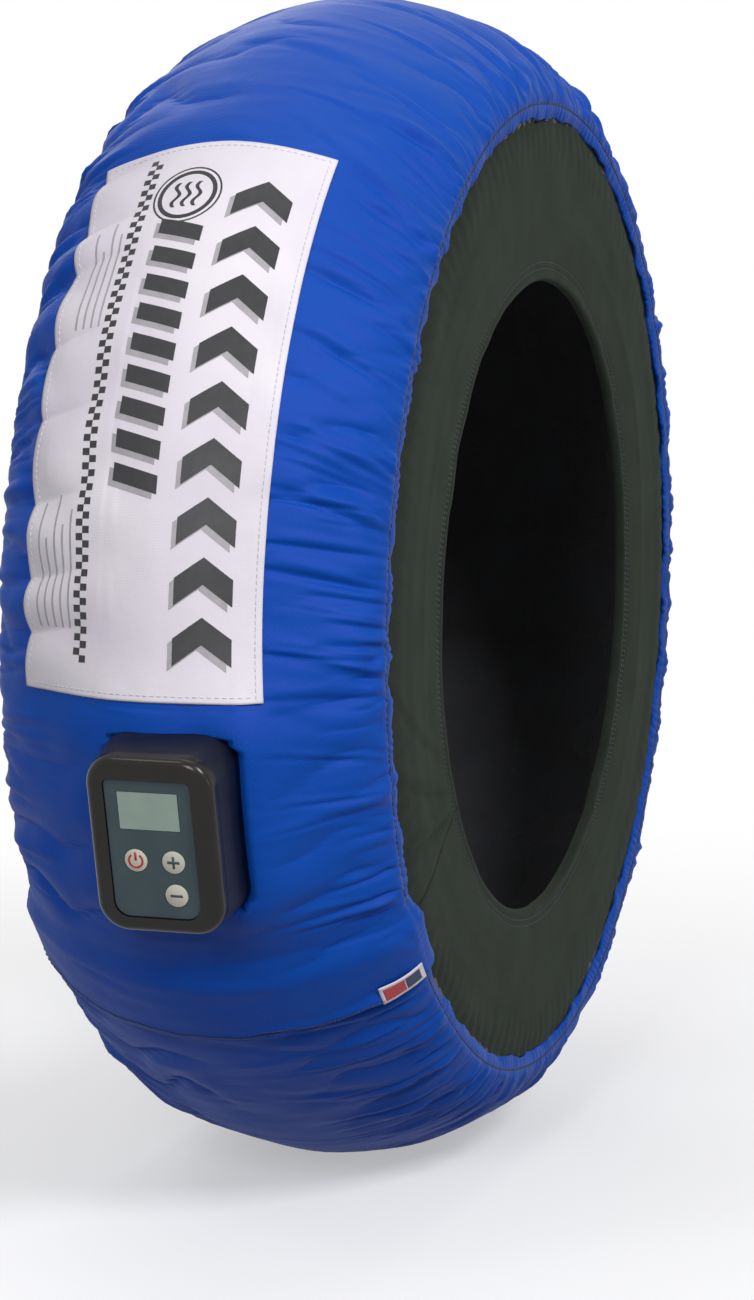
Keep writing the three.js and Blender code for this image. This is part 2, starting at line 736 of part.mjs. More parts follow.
function frontCase() {
  const foot = partingHeight + clearance;
  const rounding = [0, 0.33, 0.66, 1].map((share) => {
    const turn = degToRad(90 * share);
    return caseLevel(caseHeight - caseEdge * (1 - Math.sin(turn)), caseEdge * (1 - Math.cos(turn)));
  });
  const shell = roundedLoft([caseLevel(foot), ...rounding]);
  const chamber = roundedLoft([caseLevel(foot - 1, caseWall), caseLevel(faceBottom, caseWall)]);
  const recess = overlayBlock(clearance, faceTop, caseHeight + 1);
  const window = block(
    2 * displayHalfWidth, 2 * displayHalfLength, 3 * facePlate, ...displayCentre, faceBottom - facePlate);
  const bossTop = faceBottom + weldOverlap;
  const posts = bosses.map(([x, y]) => post(bossRadius, boardTop + clearance, bossTop, x, y));
  const cuts = [chamber, recess, window, ...keyHoles(faceBottom - 1, faceTop + 1)];
  const body = joinAll([cutAll(shell, cuts), ...posts]);
  return cutAll(body, [...screwHoles(boardTop, screwTip + clearance), sealRing(clearance)]);
}

function keyHoles(from, to) {
  return keys.map(([, [x, y]]) => post(keyRadius + clearance, from, to, x, y, keySides));
}

// The seal lies in a groove of the front case, on the rear case's rim
function sealRing(extra) {
  const middle = caseLevel(partingHeight, caseWall / 2);
  const from = partingHeight + clearance - (extra > 0 ? 1 : 0);
  const to = partingHeight + clearance + sealSize + extra;
  const ringSide = (inset) => roundedBlock(
    middle.halfWidth - inset, middle.halfLength - inset, middle.corner - inset, from, to);
  return ringSide(-sealSize / 2 - extra).subtract(ringSide(sealSize / 2 + extra));
}

function backingPlate() {
  const plate = skinTool(padDepth, plateThickness).intersect(plateBlock(0));
  return cutAll(plate, [...screwHoles(stripLowest, toolReach), grommetSlot(stripLowest, toolReach)]);
}

function caseScrew([x, y]) {
  const head = headTopAt([x, y]);
  const cap = post(screwHeadRadius, head - screwHeadHeight, head, x, y);
  return cap.add(post(screwRadius, head - weldOverlap, screwTip, x, y, 8));
}

function keypadOverlay() {
  const film = overlayBlock(0, overlayBottom, overlayTop);
  const window = block(
    2 * (displayHalfWidth + clearance), 2 * (displayHalfLength + clearance), overlayThickness + 2,
    ...displayCentre, overlayBottom - 1);
  return cutAll(film, [...keyHoles(overlayBottom - 1, overlayTop + 1), window]);
}

// The window's rim rests on the face plate, level with the overlay
function displayWindow() {
  const upper = block(
    2 * displayHalfWidth, 2 * displayHalfLength, overlayThickness, ...displayCentre, overlayBottom);
  const lower = block(
    2 * (displayHalfWidth - clearance), 2 * (displayHalfLength - clearance), facePlate + 2 * clearance,
    ...displayCentre, faceBottom - clearance);
  return upper.add(lower);
}

function displayModule() {
  const top = faceBottom - 2 * clearance;
  const frame = block(
    2 * (displayHalfWidth + displayRim), 2 * (displayHalfLength + displayRim), displayDepth,
    ...displayCentre, top - displayDepth);
  const base = boardTop + clearance;
  const light = block(
    2 * displayHalfWidth, 2 * displayHalfLength, top - displayDepth - base + weldOverlap,
    ...displayCentre, base);
  return frame.add(light);
}

function keyCap([x, y]) {
  const flangeTop = faceBottom - clearance;
  const flangeRadius = keyRadius + clearance + keyFlange;
  const cap = post(keyRadius, flangeTop - weldOverlap, overlayTop + keyProud, x, y, keySides);
  const flange = post(flangeRadius, flangeTop - keyFlangeHeight, flangeTop, x, y, keySides);
  const stemFoot = boardTop + clearance + switchFloor + keyTravel + stemSlack;
  return joinAll([cap, flange, post(stemRadius, stemFoot, flangeTop - weldOverlap, x, y)]);
}

function keySwitch([x, y]) {
  const foot = boardTop + clearance;
  const can = block(2 * switchHalf, 2 * switchHalf, switchHeight, x, y, foot);
  return can.subtract(post(stemRadius + clearance, foot + switchFloor, foot + switchHeight + 1, x, y));
}

function circuitBoard() {
  const level = caseLevel(boardTop, caseWall + boardGap);
  const sheet = roundedBlock(level.halfWidth, level.halfLength, level.corner, boardBottom, boardTop);
  return cutAll(sheet, screwHoles(boardBottom - 1, boardTop + 1));
}

function underBoard([width, length, height], [x, y]) {
  return block(width, length, height, x, y, boardBottom - clearance - height);
}

// Open socket with three pins; its flange lies on the outside of the lower wall
function powerInlet() {
  const wallOutside = caseLevel(inletHeight - inletHalfHeight - inletFlange).halfLength;
  const flangeTop = -wallOutside - clearance;
  const body = block(
    2 * inletHalfWidth, inletDepth + 1, 2 * inletHalfHeight, 0, flangeTop + inletDepth / 2,
    inletHeight - inletHalfHeight);
  const flange = block(
    2 * (inletHalfWidth + inletFlange), inletFlangeThickness, 2 * (inletHalfHeight + inletFlange),
    0, flangeTop - inletFlangeThickness / 2, inletHeight - inletHalfHeight - inletFlange);
  const well = block(
    2 * (inletHalfWidth - inletShell), inletDepth, 2 * (inletHalfHeight - inletShell),
    0, flangeTop + inletDepth / 2 - inletShell, inletHeight - inletHalfHeight + inletShell);
  const wellOpening = block(
    2 * (inletHalfWidth - inletShell), 4 * inletFlangeThickness, 2 * (inletHalfHeight - inletShell),
    0, flangeTop, inletHeight - inletHalfHeight + inletShell);
  const pins = [-1, 0, 1].map((step) => postAlong(
    pinRadius, flangeTop + 1, flangeTop + inletDepth - inletShell, step * pinPitch, inletHeight));
  return joinAll([cutAll(body.add(flange), [well, wellOpening]), ...pins]);
}

function leadGrommet() {
  const lipFoot = floorTop + clearance;
  const ring = (extra, from, to) => roundedBlock(
    grommetHalfWidth + extra, grommetHalfLength + extra, grommetHalfLength + extra, from, to, heaterLeadAt);
  const body = ring(0, grommetFoot, lipFoot + grommetLip / 2);
  const lip = ring(grommetLip, lipFoot, lipFoot + grommetLip);
  const top = lipFoot + grommetLip + 1;
  const holes = leads.map(([x, y]) => post(leadRadius + clearance, grommetFoot - 1, top, x, y, 8));
  return cutAll(body.add(lip), holes);
}

addPiece(unit, 'rear_case', rearCase(), satinBlack);
addPiece(unit, 'front_case', frontCase(), satinBlack);
addPiece(unit, 'case_seal', sealRing(0), greyRubber);
addPiece(unit, 'backing_plate', backingPlate(), brightSteel);
bosses.forEach((place, i) => addPiece(unit, `case_screw_${i + 1}`, caseScrew(place), brightSteel));
addPiece(unit, 'keypad_overlay', keypadOverlay(), slateFilm);
addPiece(unit, 'display_window', displayWindow(), displayGrey);
addPiece(unit, 'display_module', displayModule(), displayGrey);
addPiece(unit, 'circuit_board', circuitBoard(), boardGreen);
for (const [name, place] of keys) {
  addPiece(unit, name, keyCap(place), paleKey);
  addPiece(unit, `${name}_switch`, keySwitch(place), satinBlack);
}
addPiece(unit, 'supply_module', underBoard(supplySize, supplyPlace), satinBlack);
addPiece(unit, 'power_relay', underBoard(relaySize, relayPlace), relayBlue);
addPiece(unit, 'terminal_block', underBoard(terminalSize, terminalPlace), terminalGreen);
addPiece(unit, 'power_inlet', powerInlet(), satinBlack);
addPiece(unit, 'lead_grommet', leadGrommet(), greyRubber);

// Leads from the terminal block: one to the probe, one to the element, one to the thermal cutoff
const [, , terminalHeight] = terminalSize;
const leadTop = boardBottom - 2 * clearance - terminalHeight;
const [cutoffX, cutoffMiddle] = cutoffCentre;
const cutoffFrom = cutoffMiddle - cutoffLength / 2;
const probe = block(...probeSize, ...probeCentre, probeFoot);
const cutoff = postAlong(
  cutoffRadius, cutoffFrom, cutoffFrom + cutoffLength, cutoffX, cutoffFoot + cutoffRadius);
const leadFeet = [probeFoot, elementClearAt(heaterLeadAt, leadRadius), cutoffFoot];
['probe_lead', 'heater_lead', 'cutoff_lead'].forEach((name, i) => {
  addPiece(unit, name, post(leadRadius, leadFeet[i], leadTop, ...leads[i], 8), wireRed);
});
addPiece(unit, 'temperature_probe', probe, brightSteel);
addPiece(unit, 'thermal_cutoff', cutoff, brightSteel);

export default warmer;
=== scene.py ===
import math

import bmesh
import bpy
import numpy as np
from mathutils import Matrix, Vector


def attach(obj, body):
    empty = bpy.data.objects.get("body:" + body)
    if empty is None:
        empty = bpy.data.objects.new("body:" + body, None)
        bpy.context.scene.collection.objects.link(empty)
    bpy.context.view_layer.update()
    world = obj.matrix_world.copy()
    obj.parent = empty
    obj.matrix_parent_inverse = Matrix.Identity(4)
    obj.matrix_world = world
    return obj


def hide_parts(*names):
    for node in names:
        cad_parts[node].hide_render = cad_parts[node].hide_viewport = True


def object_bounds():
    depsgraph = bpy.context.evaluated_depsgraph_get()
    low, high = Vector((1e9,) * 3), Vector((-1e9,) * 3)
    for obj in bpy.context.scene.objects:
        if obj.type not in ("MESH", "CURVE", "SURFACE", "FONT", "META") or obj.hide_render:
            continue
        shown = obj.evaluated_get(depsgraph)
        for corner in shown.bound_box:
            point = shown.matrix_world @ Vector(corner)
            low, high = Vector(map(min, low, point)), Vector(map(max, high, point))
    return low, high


# Motorcycle tyre warmer. Lengths are millimetres and angles are degrees, turned into metres by MM.
# Angles run round the ring from the front, on the -X side, up over the top and down the back.
MM = 0.001

# Closed ring
CROWN_RADIUS = 336
SECTION_CENTRE_RADIUS = 262
SECTION_HALF_WIDTH = 110.5
SECTION_FULLNESS = 1.75
PUFF_HALF_WIDTH = 106.6
HEM_HALF_WIDTH = 104.4
HEM_DROP = 8.1
OPENING_RADIUS = 177.7
SAG_DEPTH = 14
SAG_STATIONS = (24, 60, 95, 180)
TONGUE_END = -38.65
PADDED_FROM = -32
PADDED_TO = 327.7
CLOSED_TO = 327.96
COVER_THICKNESS = 1.2
TONGUE_LIFT = 4.5
TONGUE_SLOPE = 4

# Patch on the front of the tread
PATCH_FROM = -3
PATCH_TO = 50.5
PATCH_NEAR = -55
PATCH_FAR = 74
PATCH_THICKNESS = 0.6

# Tag in the tongue's edge seam
TAG_NEAR = -104
TAG_FAR = -87
TAG_ARC = 2.3

# Side walls
WALL_THICKNESS = 3
WALL_BULGE = 1.6
OPENING_HALF_WIDTH = 103.8

# Control unit: x to the near side, y up round the ring, z out from the crown
UNIT_ANGLE = -13.8
UNIT_WIDTH = -10.5
CASE_HEIGHT = 35
CASE_HALF_WIDTH = 35.9
CASE_HALF_LENGTH = 49.7
CASE_DRAFT = 2
CASE_CORNER = 16
CASE_EDGE = 4.5
CASE_WALL = 2.5
PARTING_HEIGHT = 26
FLOOR_TOP = 5
FACE_PLATE = 2.5
OVERLAY_HALF = (23, 37.3)
OVERLAY_CENTRE = (-0.95, -1.55)
OVERLAY_CORNERS = (3, 8)
OVERLAY_THICKNESS = 0.5
OVERLAY_RECESS = 1.2
DISPLAY_HALF = (16.1, 10.1)
DISPLAY_CENTRE = (-1.1, 19.2)
KEY_RADIUS = 6.1
KEY_PROUD = 0.3
KEY_PLACES = {"power_key": (-10.4, -8), "plus_key": (9.8, -8), "minus_key": (9.8, -26.3)}
CLEARANCE = 0.3

# Camera, fitted to the photograph's 754 by 1300 frame
CAMERA_AZIMUTH = -71.15
CAMERA_ELEVATION = 7.03
CAMERA_DISTANCE = 2600
FOCAL_PIXELS = 4531.3
FRAME_HEIGHT = 1300
SENSOR = 36
AXLE_PIXEL = (365.4, 588.5)
CENTRE_PIXEL = (377, 650)

# Resolution of the cloth meshes: the cover is finer where the photograph shows it
COVER_JOIN = 150
FRONT_COLUMNS = 1300
BACK_COLUMNS = 900
INNER_ROWS = 5
HALF_ROWS = 25
RUFFLE_ROWS = 5
WALL_COLUMNS = 480
LINING_COLUMNS = 400

rng = np.random.default_rng(20)
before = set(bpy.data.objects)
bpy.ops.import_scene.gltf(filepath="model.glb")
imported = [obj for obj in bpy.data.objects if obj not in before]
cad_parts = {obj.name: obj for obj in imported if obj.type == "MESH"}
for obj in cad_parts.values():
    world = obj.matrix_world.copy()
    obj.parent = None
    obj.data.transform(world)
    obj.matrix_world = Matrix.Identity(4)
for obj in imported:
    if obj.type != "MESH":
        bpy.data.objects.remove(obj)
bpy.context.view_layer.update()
BODY = "warmer"


# Maths of the ring
def smoothstep(value, low, high):
    share = np.clip((value - low) / (high - low), 0, 1)
    return share * share * (3 - 2 * share)


def crown_at(width):
    """Radius of the smooth cover at a width."""
    across = np.minimum(np.abs(width) / SECTION_HALF_WIDTH, 1) ** SECTION_FULLNESS
    rise = (1 - across) ** (1 / SECTION_FULLNESS)
    return SECTION_CENTRE_RADIUS + (CROWN_RADIUS - SECTION_CENTRE_RADIUS) * rise


def sag(angle):
    below = np.mod(-angle, 360)
    start, full, fill, filled = SAG_STATIONS
    return SAG_DEPTH * (smoothstep(below, start, full) - smoothstep(below, fill, filled))


def on_ring(angle, width, radius):
    """Points in metres, with the last axis as x, y, z."""
    share = (radius - OPENING_RADIUS) / (CROWN_RADIUS - OPENING_RADIUS)
    r = radius - sag(angle) * share
    turn = np.radians(angle)
    width = np.broadcast_to(width, r.shape)
    return np.stack([-r * np.cos(turn), width, r * np.sin(turn)], -1) * MM


def skin_normal(width):
    slope = (crown_at(width + 0.05) - crown_at(width - 0.05)) / 0.1
    length = np.hypot(slope, 1)
    return -slope / length, 1 / length


def skin_at(angle, width, height):
    """A point that stands a height above the smooth cover."""
    across, out = skin_normal(width)
    return on_ring(angle, width + across * height, crown_at(width) + out * height)


def smooth_noise(angle, across, pitch, cells):
    """Smooth values from -1 to 1: one cell every pitch degrees round the ring, and some cells across it."""
    count = max(round(360 / pitch), 3)
    grid = rng.uniform(-1, 1, (count, cells + 2))
    u = np.mod(angle, 360) / 360 * count
    v = np.clip(across, 0, 1) * cells
    i, j = np.floor(u).astype(int), np.floor(v).astype(int)
    fu, fv = u - i, v - j
    fu, fv = fu * fu * (3 - 2 * fu), fv * fv * (3 - 2 * fv)
    i, nxt = i % count, (i + 1) % count
    low = grid[i, j] * (1 - fu) + grid[nxt, j] * fu
    high = grid[i, j + 1] * (1 - fu) + grid[nxt, j + 1] * fu
    return low * (1 - fv) + high * fv


# Mesh helpers
def add_object(name, vertices, faces, smooth=True):
    mesh = bpy.data.meshes.new(name)
    mesh.from_pydata([tuple(v) for v in vertices], [], [tuple(f) for f in faces])
    mesh.validate()
    mesh.polygons.foreach_set("use_smooth", [smooth] * len(mesh.polygons))
    obj = bpy.data.objects.new(name, mesh)
    bpy.context.scene.collection.objects.link(obj)
    return obj


def grid_faces(columns, rows, close_rows):
    """Quads between the columns of a grid; close_rows joins each column's last row to its first."""
    i = np.arange(columns - 1)[:, None] * rows
    last = rows if close_rows else rows - 1
    j = np.arange(last)[None, :]
    following = (j + 1) % rows
    quads = np.stack([i + j, i + following, i + rows + following, i + rows + j], -1)
    return quads.reshape(-1, 4)


def add_uv(obj, uv):
    """Cloth coordinates, one pair for each vertex."""
    layer = obj.data.uv_layers.new(name="cloth")
    corner = np.zeros(len(obj.data.loops), int)
    obj.data.loops.foreach_get("vertex_index", corner)
    layer.data.foreach_set("uv", uv.reshape(-1, 2)[corner].ravel())


def facing_out(obj):
    work = bmesh.new()
    work.from_mesh(obj.data)
    bmesh.ops.recalc_face_normals(work, faces=work.faces)
    work.to_mesh(obj.data)
    work.free()
    return obj


def add_swept(name, points, uv=None):
    """A closed body from columns of closed loops, points[column, row, xyz], with a cap at both ends."""
    columns, rows, _ = points.shape
    faces = [tuple(f) for f in grid_faces(columns, rows, True)]
    faces.append(tuple(range(rows)))
    faces.append(tuple(reversed(range((columns - 1) * rows, columns * rows))))
    obj = facing_out(add_object(name, points.reshape(-1, 3), faces))
    if uv is not None:
        add_uv(obj, uv)
    return obj


def join_all(name, objects):
    """One object from several."""
    work = bmesh.new()
    for obj in objects:
        work.from_mesh(obj.data)
    mesh = bpy.data.meshes.new(name)
    work.to_mesh(mesh)
    work.free()
    for obj in objects:
        bpy.data.objects.remove(obj)
    joined = bpy.data.objects.new(name, mesh)
    bpy.context.scene.collection.objects.link(joined)
    mesh.polygons.foreach_set("use_smooth", [True] * len(mesh.polygons))
    return joined


def dress(obj, material, body=BODY):
    obj.data.materials.clear()
    obj.data.materials.append(material)
    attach(obj, body)
    return obj


# Materials
def linear(red, green, blue):
    def one(value):
        share = value / 255
        return share / 12.92 if share <= 0.04045 else ((share + 0.055) / 1.055) ** 2.4
    return (one(red), one(green), one(blue), 1)


def new_material(name, colour, roughness, **sockets):
    material = bpy.data.materials.new(name)
    material.use_nodes = True
    shader = material.node_tree.nodes["Principled BSDF"]
    shader.inputs["Base Color"].default_value = linear(*colour)
    shader.inputs["Roughness"].default_value = roughness
    for socket, value in sockets.items():
        shader.inputs[socket.replace("_", " ").title().replace("Ior", "IOR")].default_value = value
    return material


def add_node(material, kind, **inputs):
    node = material.node_tree.nodes.new(kind)
    for socket, value in inputs.items():
        node.inputs[socket.replace("_", " ").title()].default_value = value
    return node


def wire(material, source, output, target, socket):
    material.node_tree.links.new(source.outputs[output], target.inputs[socket])


def coordinates(material, output="Object", scale=(1, 1, 1), rotation=(0, 0, 0)):
    source = add_node(material, "ShaderNodeTexCoord")
    mapping = add_node(material, "ShaderNodeMapping", scale=scale, rotation=rotation)
    wire(material, source, output, mapping, "Vector")
    return mapping


def vary_colour(material, scale, low, high, detail=4):
    """The colour wanders between two colours, as cloth and plastic do."""
    shader = material.node_tree.nodes["Principled BSDF"]
    noise = add_node(material, "ShaderNodeTexNoise", scale=scale, detail=detail)
    wire(material, coordinates(material), "Vector", noise, "Vector")
    ramp = material.node_tree.nodes.new("ShaderNodeValToRGB")
    ramp.color_ramp.elements[0].position = 0.3
    ramp.color_ramp.elements[1].position = 0.7
    ramp.color_ramp.elements[0].color = linear(*low)
    ramp.color_ramp.elements[1].color = linear(*high)
    wire(material, noise, "Fac", ramp, "Fac")
    wire(material, ramp, "Color", shader, "Base Color")


def vary_roughness(material, scale, low, high):
    shader = material.node_tree.nodes["Principled BSDF"]
    noise = add_node(material, "ShaderNodeTexNoise", scale=scale, detail=3)
    wire(material, coordinates(material), "Vector", noise, "Vector")
    spread = add_node(material, "ShaderNodeMapRange", to_min=low, to_max=high)
    wire(material, noise, "Fac", spread, "Value")
    wire(material, spread, "Result", shader, "Roughness")


def add_bump(material, sources, distance, strength=1):
    """Bump from one or more height outputs, each given as (node, output), one after another."""
    shader = material.node_tree.nodes["Principled BSDF"]
    previous = None
    for (node, output), depth in zip(sources, distance):
        bump = add_node(material, "ShaderNodeBump", strength=strength, distance=depth)
        wire(material, node, output, bump, "Height")
        if previous is not None:
            wire(material, previous, "Normal", bump, "Normal")
        previous = bump
    wire(material, previous, "Normal", shader, "Normal")


def weave_node(material, pitch, rotation=0.0):
    """Threads that cross at right angles, in the cloth's own measure."""
    threads = []
    for turn in (rotation, rotation + math.pi / 2):
        wave = add_node(material, "ShaderNodeTexWave", scale=1, distortion=0.6, detail=1)
        wave.bands_direction = "X"
        spread = coordinates(material, "UV", (1 / pitch / 3.18,) * 3, (0, 0, turn))
        wire(material, spread, "Vector", wave, "Vector")
        threads.append(wave)
    mix = material.node_tree.nodes.new("ShaderNodeMath")
    mix.operation = "MULTIPLY"
    wire(material, threads[0], "Fac", mix, 0)
    wire(material, threads[1], "Fac", mix, 1)
    return mix


def noise_node(material, scale, detail=4, output="Object"):
    noise = add_node(material, "ShaderNodeTexNoise", scale=scale, detail=detail)
    wire(material, coordinates(material, output), "Vector", noise, "Vector")
    return noise


def crease_node(material, around, across):
    """Thin ridges that run across the strip, a pitch apart round it, in metres."""
    noise = add_node(material, "ShaderNodeTexNoise", scale=1, detail=3)
    noise.noise_type = "RIDGED_MULTIFRACTAL"
    spread = coordinates(material, "UV", (1 / around, 1 / across, 1), (0, 0, math.radians(8)))
    wire(material, spread, "Vector", noise, "Vector")
    return noise


def nylon_material():
    """Royal blue nylon: satin, with thin creases and a violet gleam where light glances off it."""
    material = new_material(
        "nylon", (0, 74, 172), 0.54, ior=1.24, specular_ior_level=1, specular_tint=linear(205, 120, 255))
    vary_colour(material, 6, (0, 71, 165), (2, 79, 175))
    vary_roughness(material, 30, 0.5, 0.6)
    weave = weave_node(material, 0.0011, math.radians(20))
    creases = crease_node(material, 0.016, 0.09)
    folds = noise_node(material, 40, 4)
    add_bump(material, [(folds, "Fac"), (creases, "Fac"), (weave, "Value")], [0.0012, 0.0022, 0.00012], 0.7)
    return material


def neoprene_material():
    """Dark grey-green neoprene with a jersey face, a fine grain and a tone that wanders."""
    material = new_material(
        "neoprene", (35, 40, 36), 0.92, specular_ior_level=0.1, sheen_weight=0.2, sheen_roughness=0.6,
        sheen_tint=linear(150, 165, 150))
    vary_colour(material, 40, (31, 36, 32), (42, 47, 41), 8)
    weave = weave_node(material, 0.0009)
    grain = noise_node(material, 1400, 2)
    add_bump(material, [(grain, "Fac"), (weave, "Value")], [0.0005, 0.0002], 0.7)
    return material


def lining_material():
    material = new_material("lining", (36, 37, 40), 0.85, sheen_weight=0.3, sheen_roughness=0.5)
    vary_colour(material, 25, (30, 31, 34), (46, 47, 51), 6)
    weave = weave_node(material, 0.0016)
    grain = noise_node(material, 500, 3)
    add_bump(material, [(grain, "Fac"), (weave, "Value")], [0.0004, 0.0003], 0.8)
    return material


def patch_material():
    material = new_material("patch_cloth", (230, 224, 233), 0.55, specular_ior_level=0.4)
    vary_colour(material, 12, (222, 215, 227), (236, 231, 238))
    weave = weave_node(material, 0.0008)
    creases = noise_node(material, 60, 5)
    add_bump(material, [(creases, "Fac"), (weave, "Value")], [0.0008, 0.00008], 0.5)
    return material


def printed(name, colour):
    material = new_material(name, colour, 0.5)
    darker = tuple(max(value - 7, 0) for value in colour)
    lighter = tuple(min(value + 7, 255) for value in colour)
    vary_colour(material, 160, darker, lighter)
    add_bump(material, [(noise_node(material, 900, 2), "Fac")], [0.0001], 0.5)
    return material


def plastic(name, colour, roughness, grain=0.00006, **sockets):
    material = new_material(name, colour, roughness, **sockets)
    darker = tuple(max(value - 4, 0) for value in colour)
    lighter = tuple(min(value + 4, 255) for value in colour)
    vary_colour(material, 60, darker, lighter)
    vary_roughness(material, 120, roughness * 0.88, min(roughness * 1.12, 1))
    add_bump(material, [(noise_node(material, 2600, 2), "Fac")], [grain], 0.5)
    return material


def metal(name, colour, roughness):
    material = new_material(name, colour, roughness, metallic=1)
    vary_roughness(material, 200, roughness * 0.8, roughness * 1.3)
    add_bump(material, [(noise_node(material, 1500, 2), "Fac")], [0.00003], 0.4)
    return material


nylon = nylon_material()
neoprene = neoprene_material()
lining = lining_material()
patch_cloth = patch_material()
thread_black = printed("thread_black", (12, 14, 22))
thread_pale = printed("thread_pale", (205, 200, 208))
print_dark = printed("print_dark", (30, 30, 34))
print_grey = printed("print_grey", (168, 164, 170))
print_red = printed("print_red", (176, 62, 66))
print_navy = printed("print_navy", (34, 44, 78))
case_black = plastic("case_black", (22, 19, 16), 0.2, 0.00003, specular_ior_level=0.3)
# Dark plastic of the rear case and the inner parts; its blue tint is a painted reflection of the blue cover.
dark_plastic_painted_blue = plastic("dark_plastic_painted_blue", (14, 17, 30), 0.4, 0.00008, specular_ior_level=0.25)
overlay_film = plastic("overlay_film", (60, 77, 82), 0.4, specular_ior_level=0.3)
display_glass = plastic(
    "display_glass", (142, 165, 152), 0.16, 0.00001, coat_weight=0.6, coat_roughness=0.08)
display_frame = plastic("display_frame", (116, 136, 126), 0.3)
key_white = plastic("key_white", (206, 206, 192), 0.45)
symbol_red = printed("symbol_red", (190, 48, 44))
symbol_slate = printed("symbol_slate", (48, 58, 68))
rubber = plastic("rubber_dark", (44, 46, 48), 0.75, 0.0002)
wadding = new_material("wadding", (206, 202, 188), 0.95)
steel = metal("steel", (190, 192, 196), 0.32)
copper = metal("copper", (190, 120, 60), 0.35)


# Cover: rows across the strip, from the near hem's edge to the far hem's edge, closer beside the unit
CASE_SIDE_ROWS = (-4.5, -2, 2.5)


def section_rows():
    """Widths, radii and the distance from each hem's stitch line; negative distances lie in the ruffles."""
    width = np.linspace(-PUFF_HALF_WIDTH, PUFF_HALF_WIDTH, 4001)
    radius = crown_at(width)
    along = np.concatenate([[0], np.cumsum(np.hypot(np.diff(width), np.diff(radius)))])
    half = along[-1] / 2
    near = half * (np.arange(HALF_ROWS + 1) / HALF_ROWS) ** 1.45
    case_sides = [
        UNIT_WIDTH + side * (CASE_HALF_WIDTH + step) for side in (-1, 1) for step in CASE_SIDE_ROWS]
    beside_case = np.interp(case_sides, width, along)
    stations = np.sort(np.concatenate([near, (2 * half - near[:-1])[::-1], beside_case]))
    skin = np.stack([np.interp(stations, along, width), np.interp(stations, along, radius)])
    drop = np.linspace(1, 0, RUFFLE_ROWS, endpoint=False)
    edge_width = PUFF_HALF_WIDTH + (HEM_HALF_WIDTH - PUFF_HALF_WIDTH) * drop
    edge_radius = crown_at(PUFF_HALF_WIDTH) - HEM_DROP * drop
    rows = np.concatenate([
        np.stack([-edge_width, edge_radius]), skin, np.stack([edge_width, edge_radius])[:, ::-1]], 1)
    from_near = np.concatenate([-HEM_DROP * drop, stations, 2 * half + HEM_DROP * drop[::-1]])
    return rows[0], rows[1], from_near, 2 * half - from_near


row_width, row_radius, from_near, from_far = section_rows()
step_width, step_radius = np.gradient(row_width), np.gradient(row_radius)
step_length = np.hypot(step_width, step_radius)
normal_width, normal_radius = -step_radius / step_length, step_width / step_length
front_angle = np.linspace(TONGUE_END, COVER_JOIN, FRONT_COLUMNS)
column_angle = np.concatenate([front_angle, np.linspace(COVER_JOIN, PADDED_TO, BACK_COLUMNS + 1)[1:]])
half_section = (from_near[-1] - HEM_DROP) / 2


def puffed(phase, sharpness):
    """Rounded puffs between sharp valleys, one for each whole number."""
    return np.abs(np.sin(np.pi * phase)) ** sharpness


def open_gathers(angle):
    """Gathers are small next to the closure, where the strip lies flat, and full elsewhere."""
    start = 0.25 + 0.75 * smoothstep(angle, PADDED_FROM - 5, PADDED_FROM + 8)
    return start * (1 - 0.6 * smoothstep(angle, PADDED_TO - 14, PADDED_TO - 5))


# Height of the broad and middle gathers, degrees from one broad gather to the next, and how far they reach
NEAR_GATHERS = (5.0, 3.0, 7.7, 108)
FAR_GATHERS = (7.5, 3.0, 8.3, 132)
MIDDLE_PITCH = 2.9
FINE_PITCH = 1.16


def side_gathers(angle, distance, far):
    """Height of the gathers on one side, over the distance from its stitch line."""
    share = np.clip(distance / half_section, 0, 1)
    inside = np.maximum(distance, 0)
    outside = np.maximum(-distance, 0) / HEM_DROP
    wander = smooth_noise(angle, share, 4, 8)
    drift = smooth_noise(angle, share, 13, 4)
    uneven = 0.66 + 0.34 * smooth_noise(angle, share, 8, 3)
    fine_uneven = 0.5 + 0.5 * smooth_noise(angle, share, 2.3, 4)
    strength, middle_strength, pitch, mean_reach = FAR_GATHERS if far else NEAR_GATHERS
    reach = mean_reach * (1 + 0.3 * smooth_noise(angle, share * 0, 9, 1))
    broad = puffed(angle / pitch + 0.6 * drift + 0.1 * wander, 0.6) - 0.3
    broad = strength * broad * uneven * smoothstep(inside, 0, 24)
    broad = broad * (1 - smoothstep(inside, reach * 0.35, reach))
    middle = puffed(angle / MIDDLE_PITCH + 0.7 * drift + 0.5 * wander, 0.6)
    middle = middle_strength * middle * fine_uneven * smoothstep(inside, 0, 7)
    middle = middle * (1 - smoothstep(inside, 12, 52 + 20 * drift))
    small = puffed(angle / FINE_PITCH + 0.7 * wander + 0.5 * drift, 0.8)
    fine = 1.25 * small * fine_uneven * np.exp(-(inside / 10) ** 1.3) * smoothstep(inside, -1, 1.5)
    ruffle = (1.0 * small * fine_uneven - 0.3) * smoothstep(outside, 0, 0.8)
    edge_wave = 1.6 * smooth_noise(angle, share * 0, 2.6, 1) * outside
    return (broad + middle + fine + ruffle + edge_wave) * open_gathers(angle)


def add_crease(height, angle, distance, start, begin, length, slant, depth, width):
    """One sharp valley with a soft lip beside it, added to the heights from the stitch line inwards."""
    along = (distance - begin) / length
    centre = start + slant * (distance - begin) * 0.1
    reach = np.sin(np.pi * np.clip(along, 0, 1)) ** 0.6
    offset = (np.mod(angle - centre + 180, 360) - 180) * math.radians(1) * 310
    valley = np.exp(-(offset / width) ** 2)
    lip = np.exp(-((offset - 2.2 * width) / (1.8 * width)) ** 2)
    height += depth * reach * (0.9 * lip - valley)


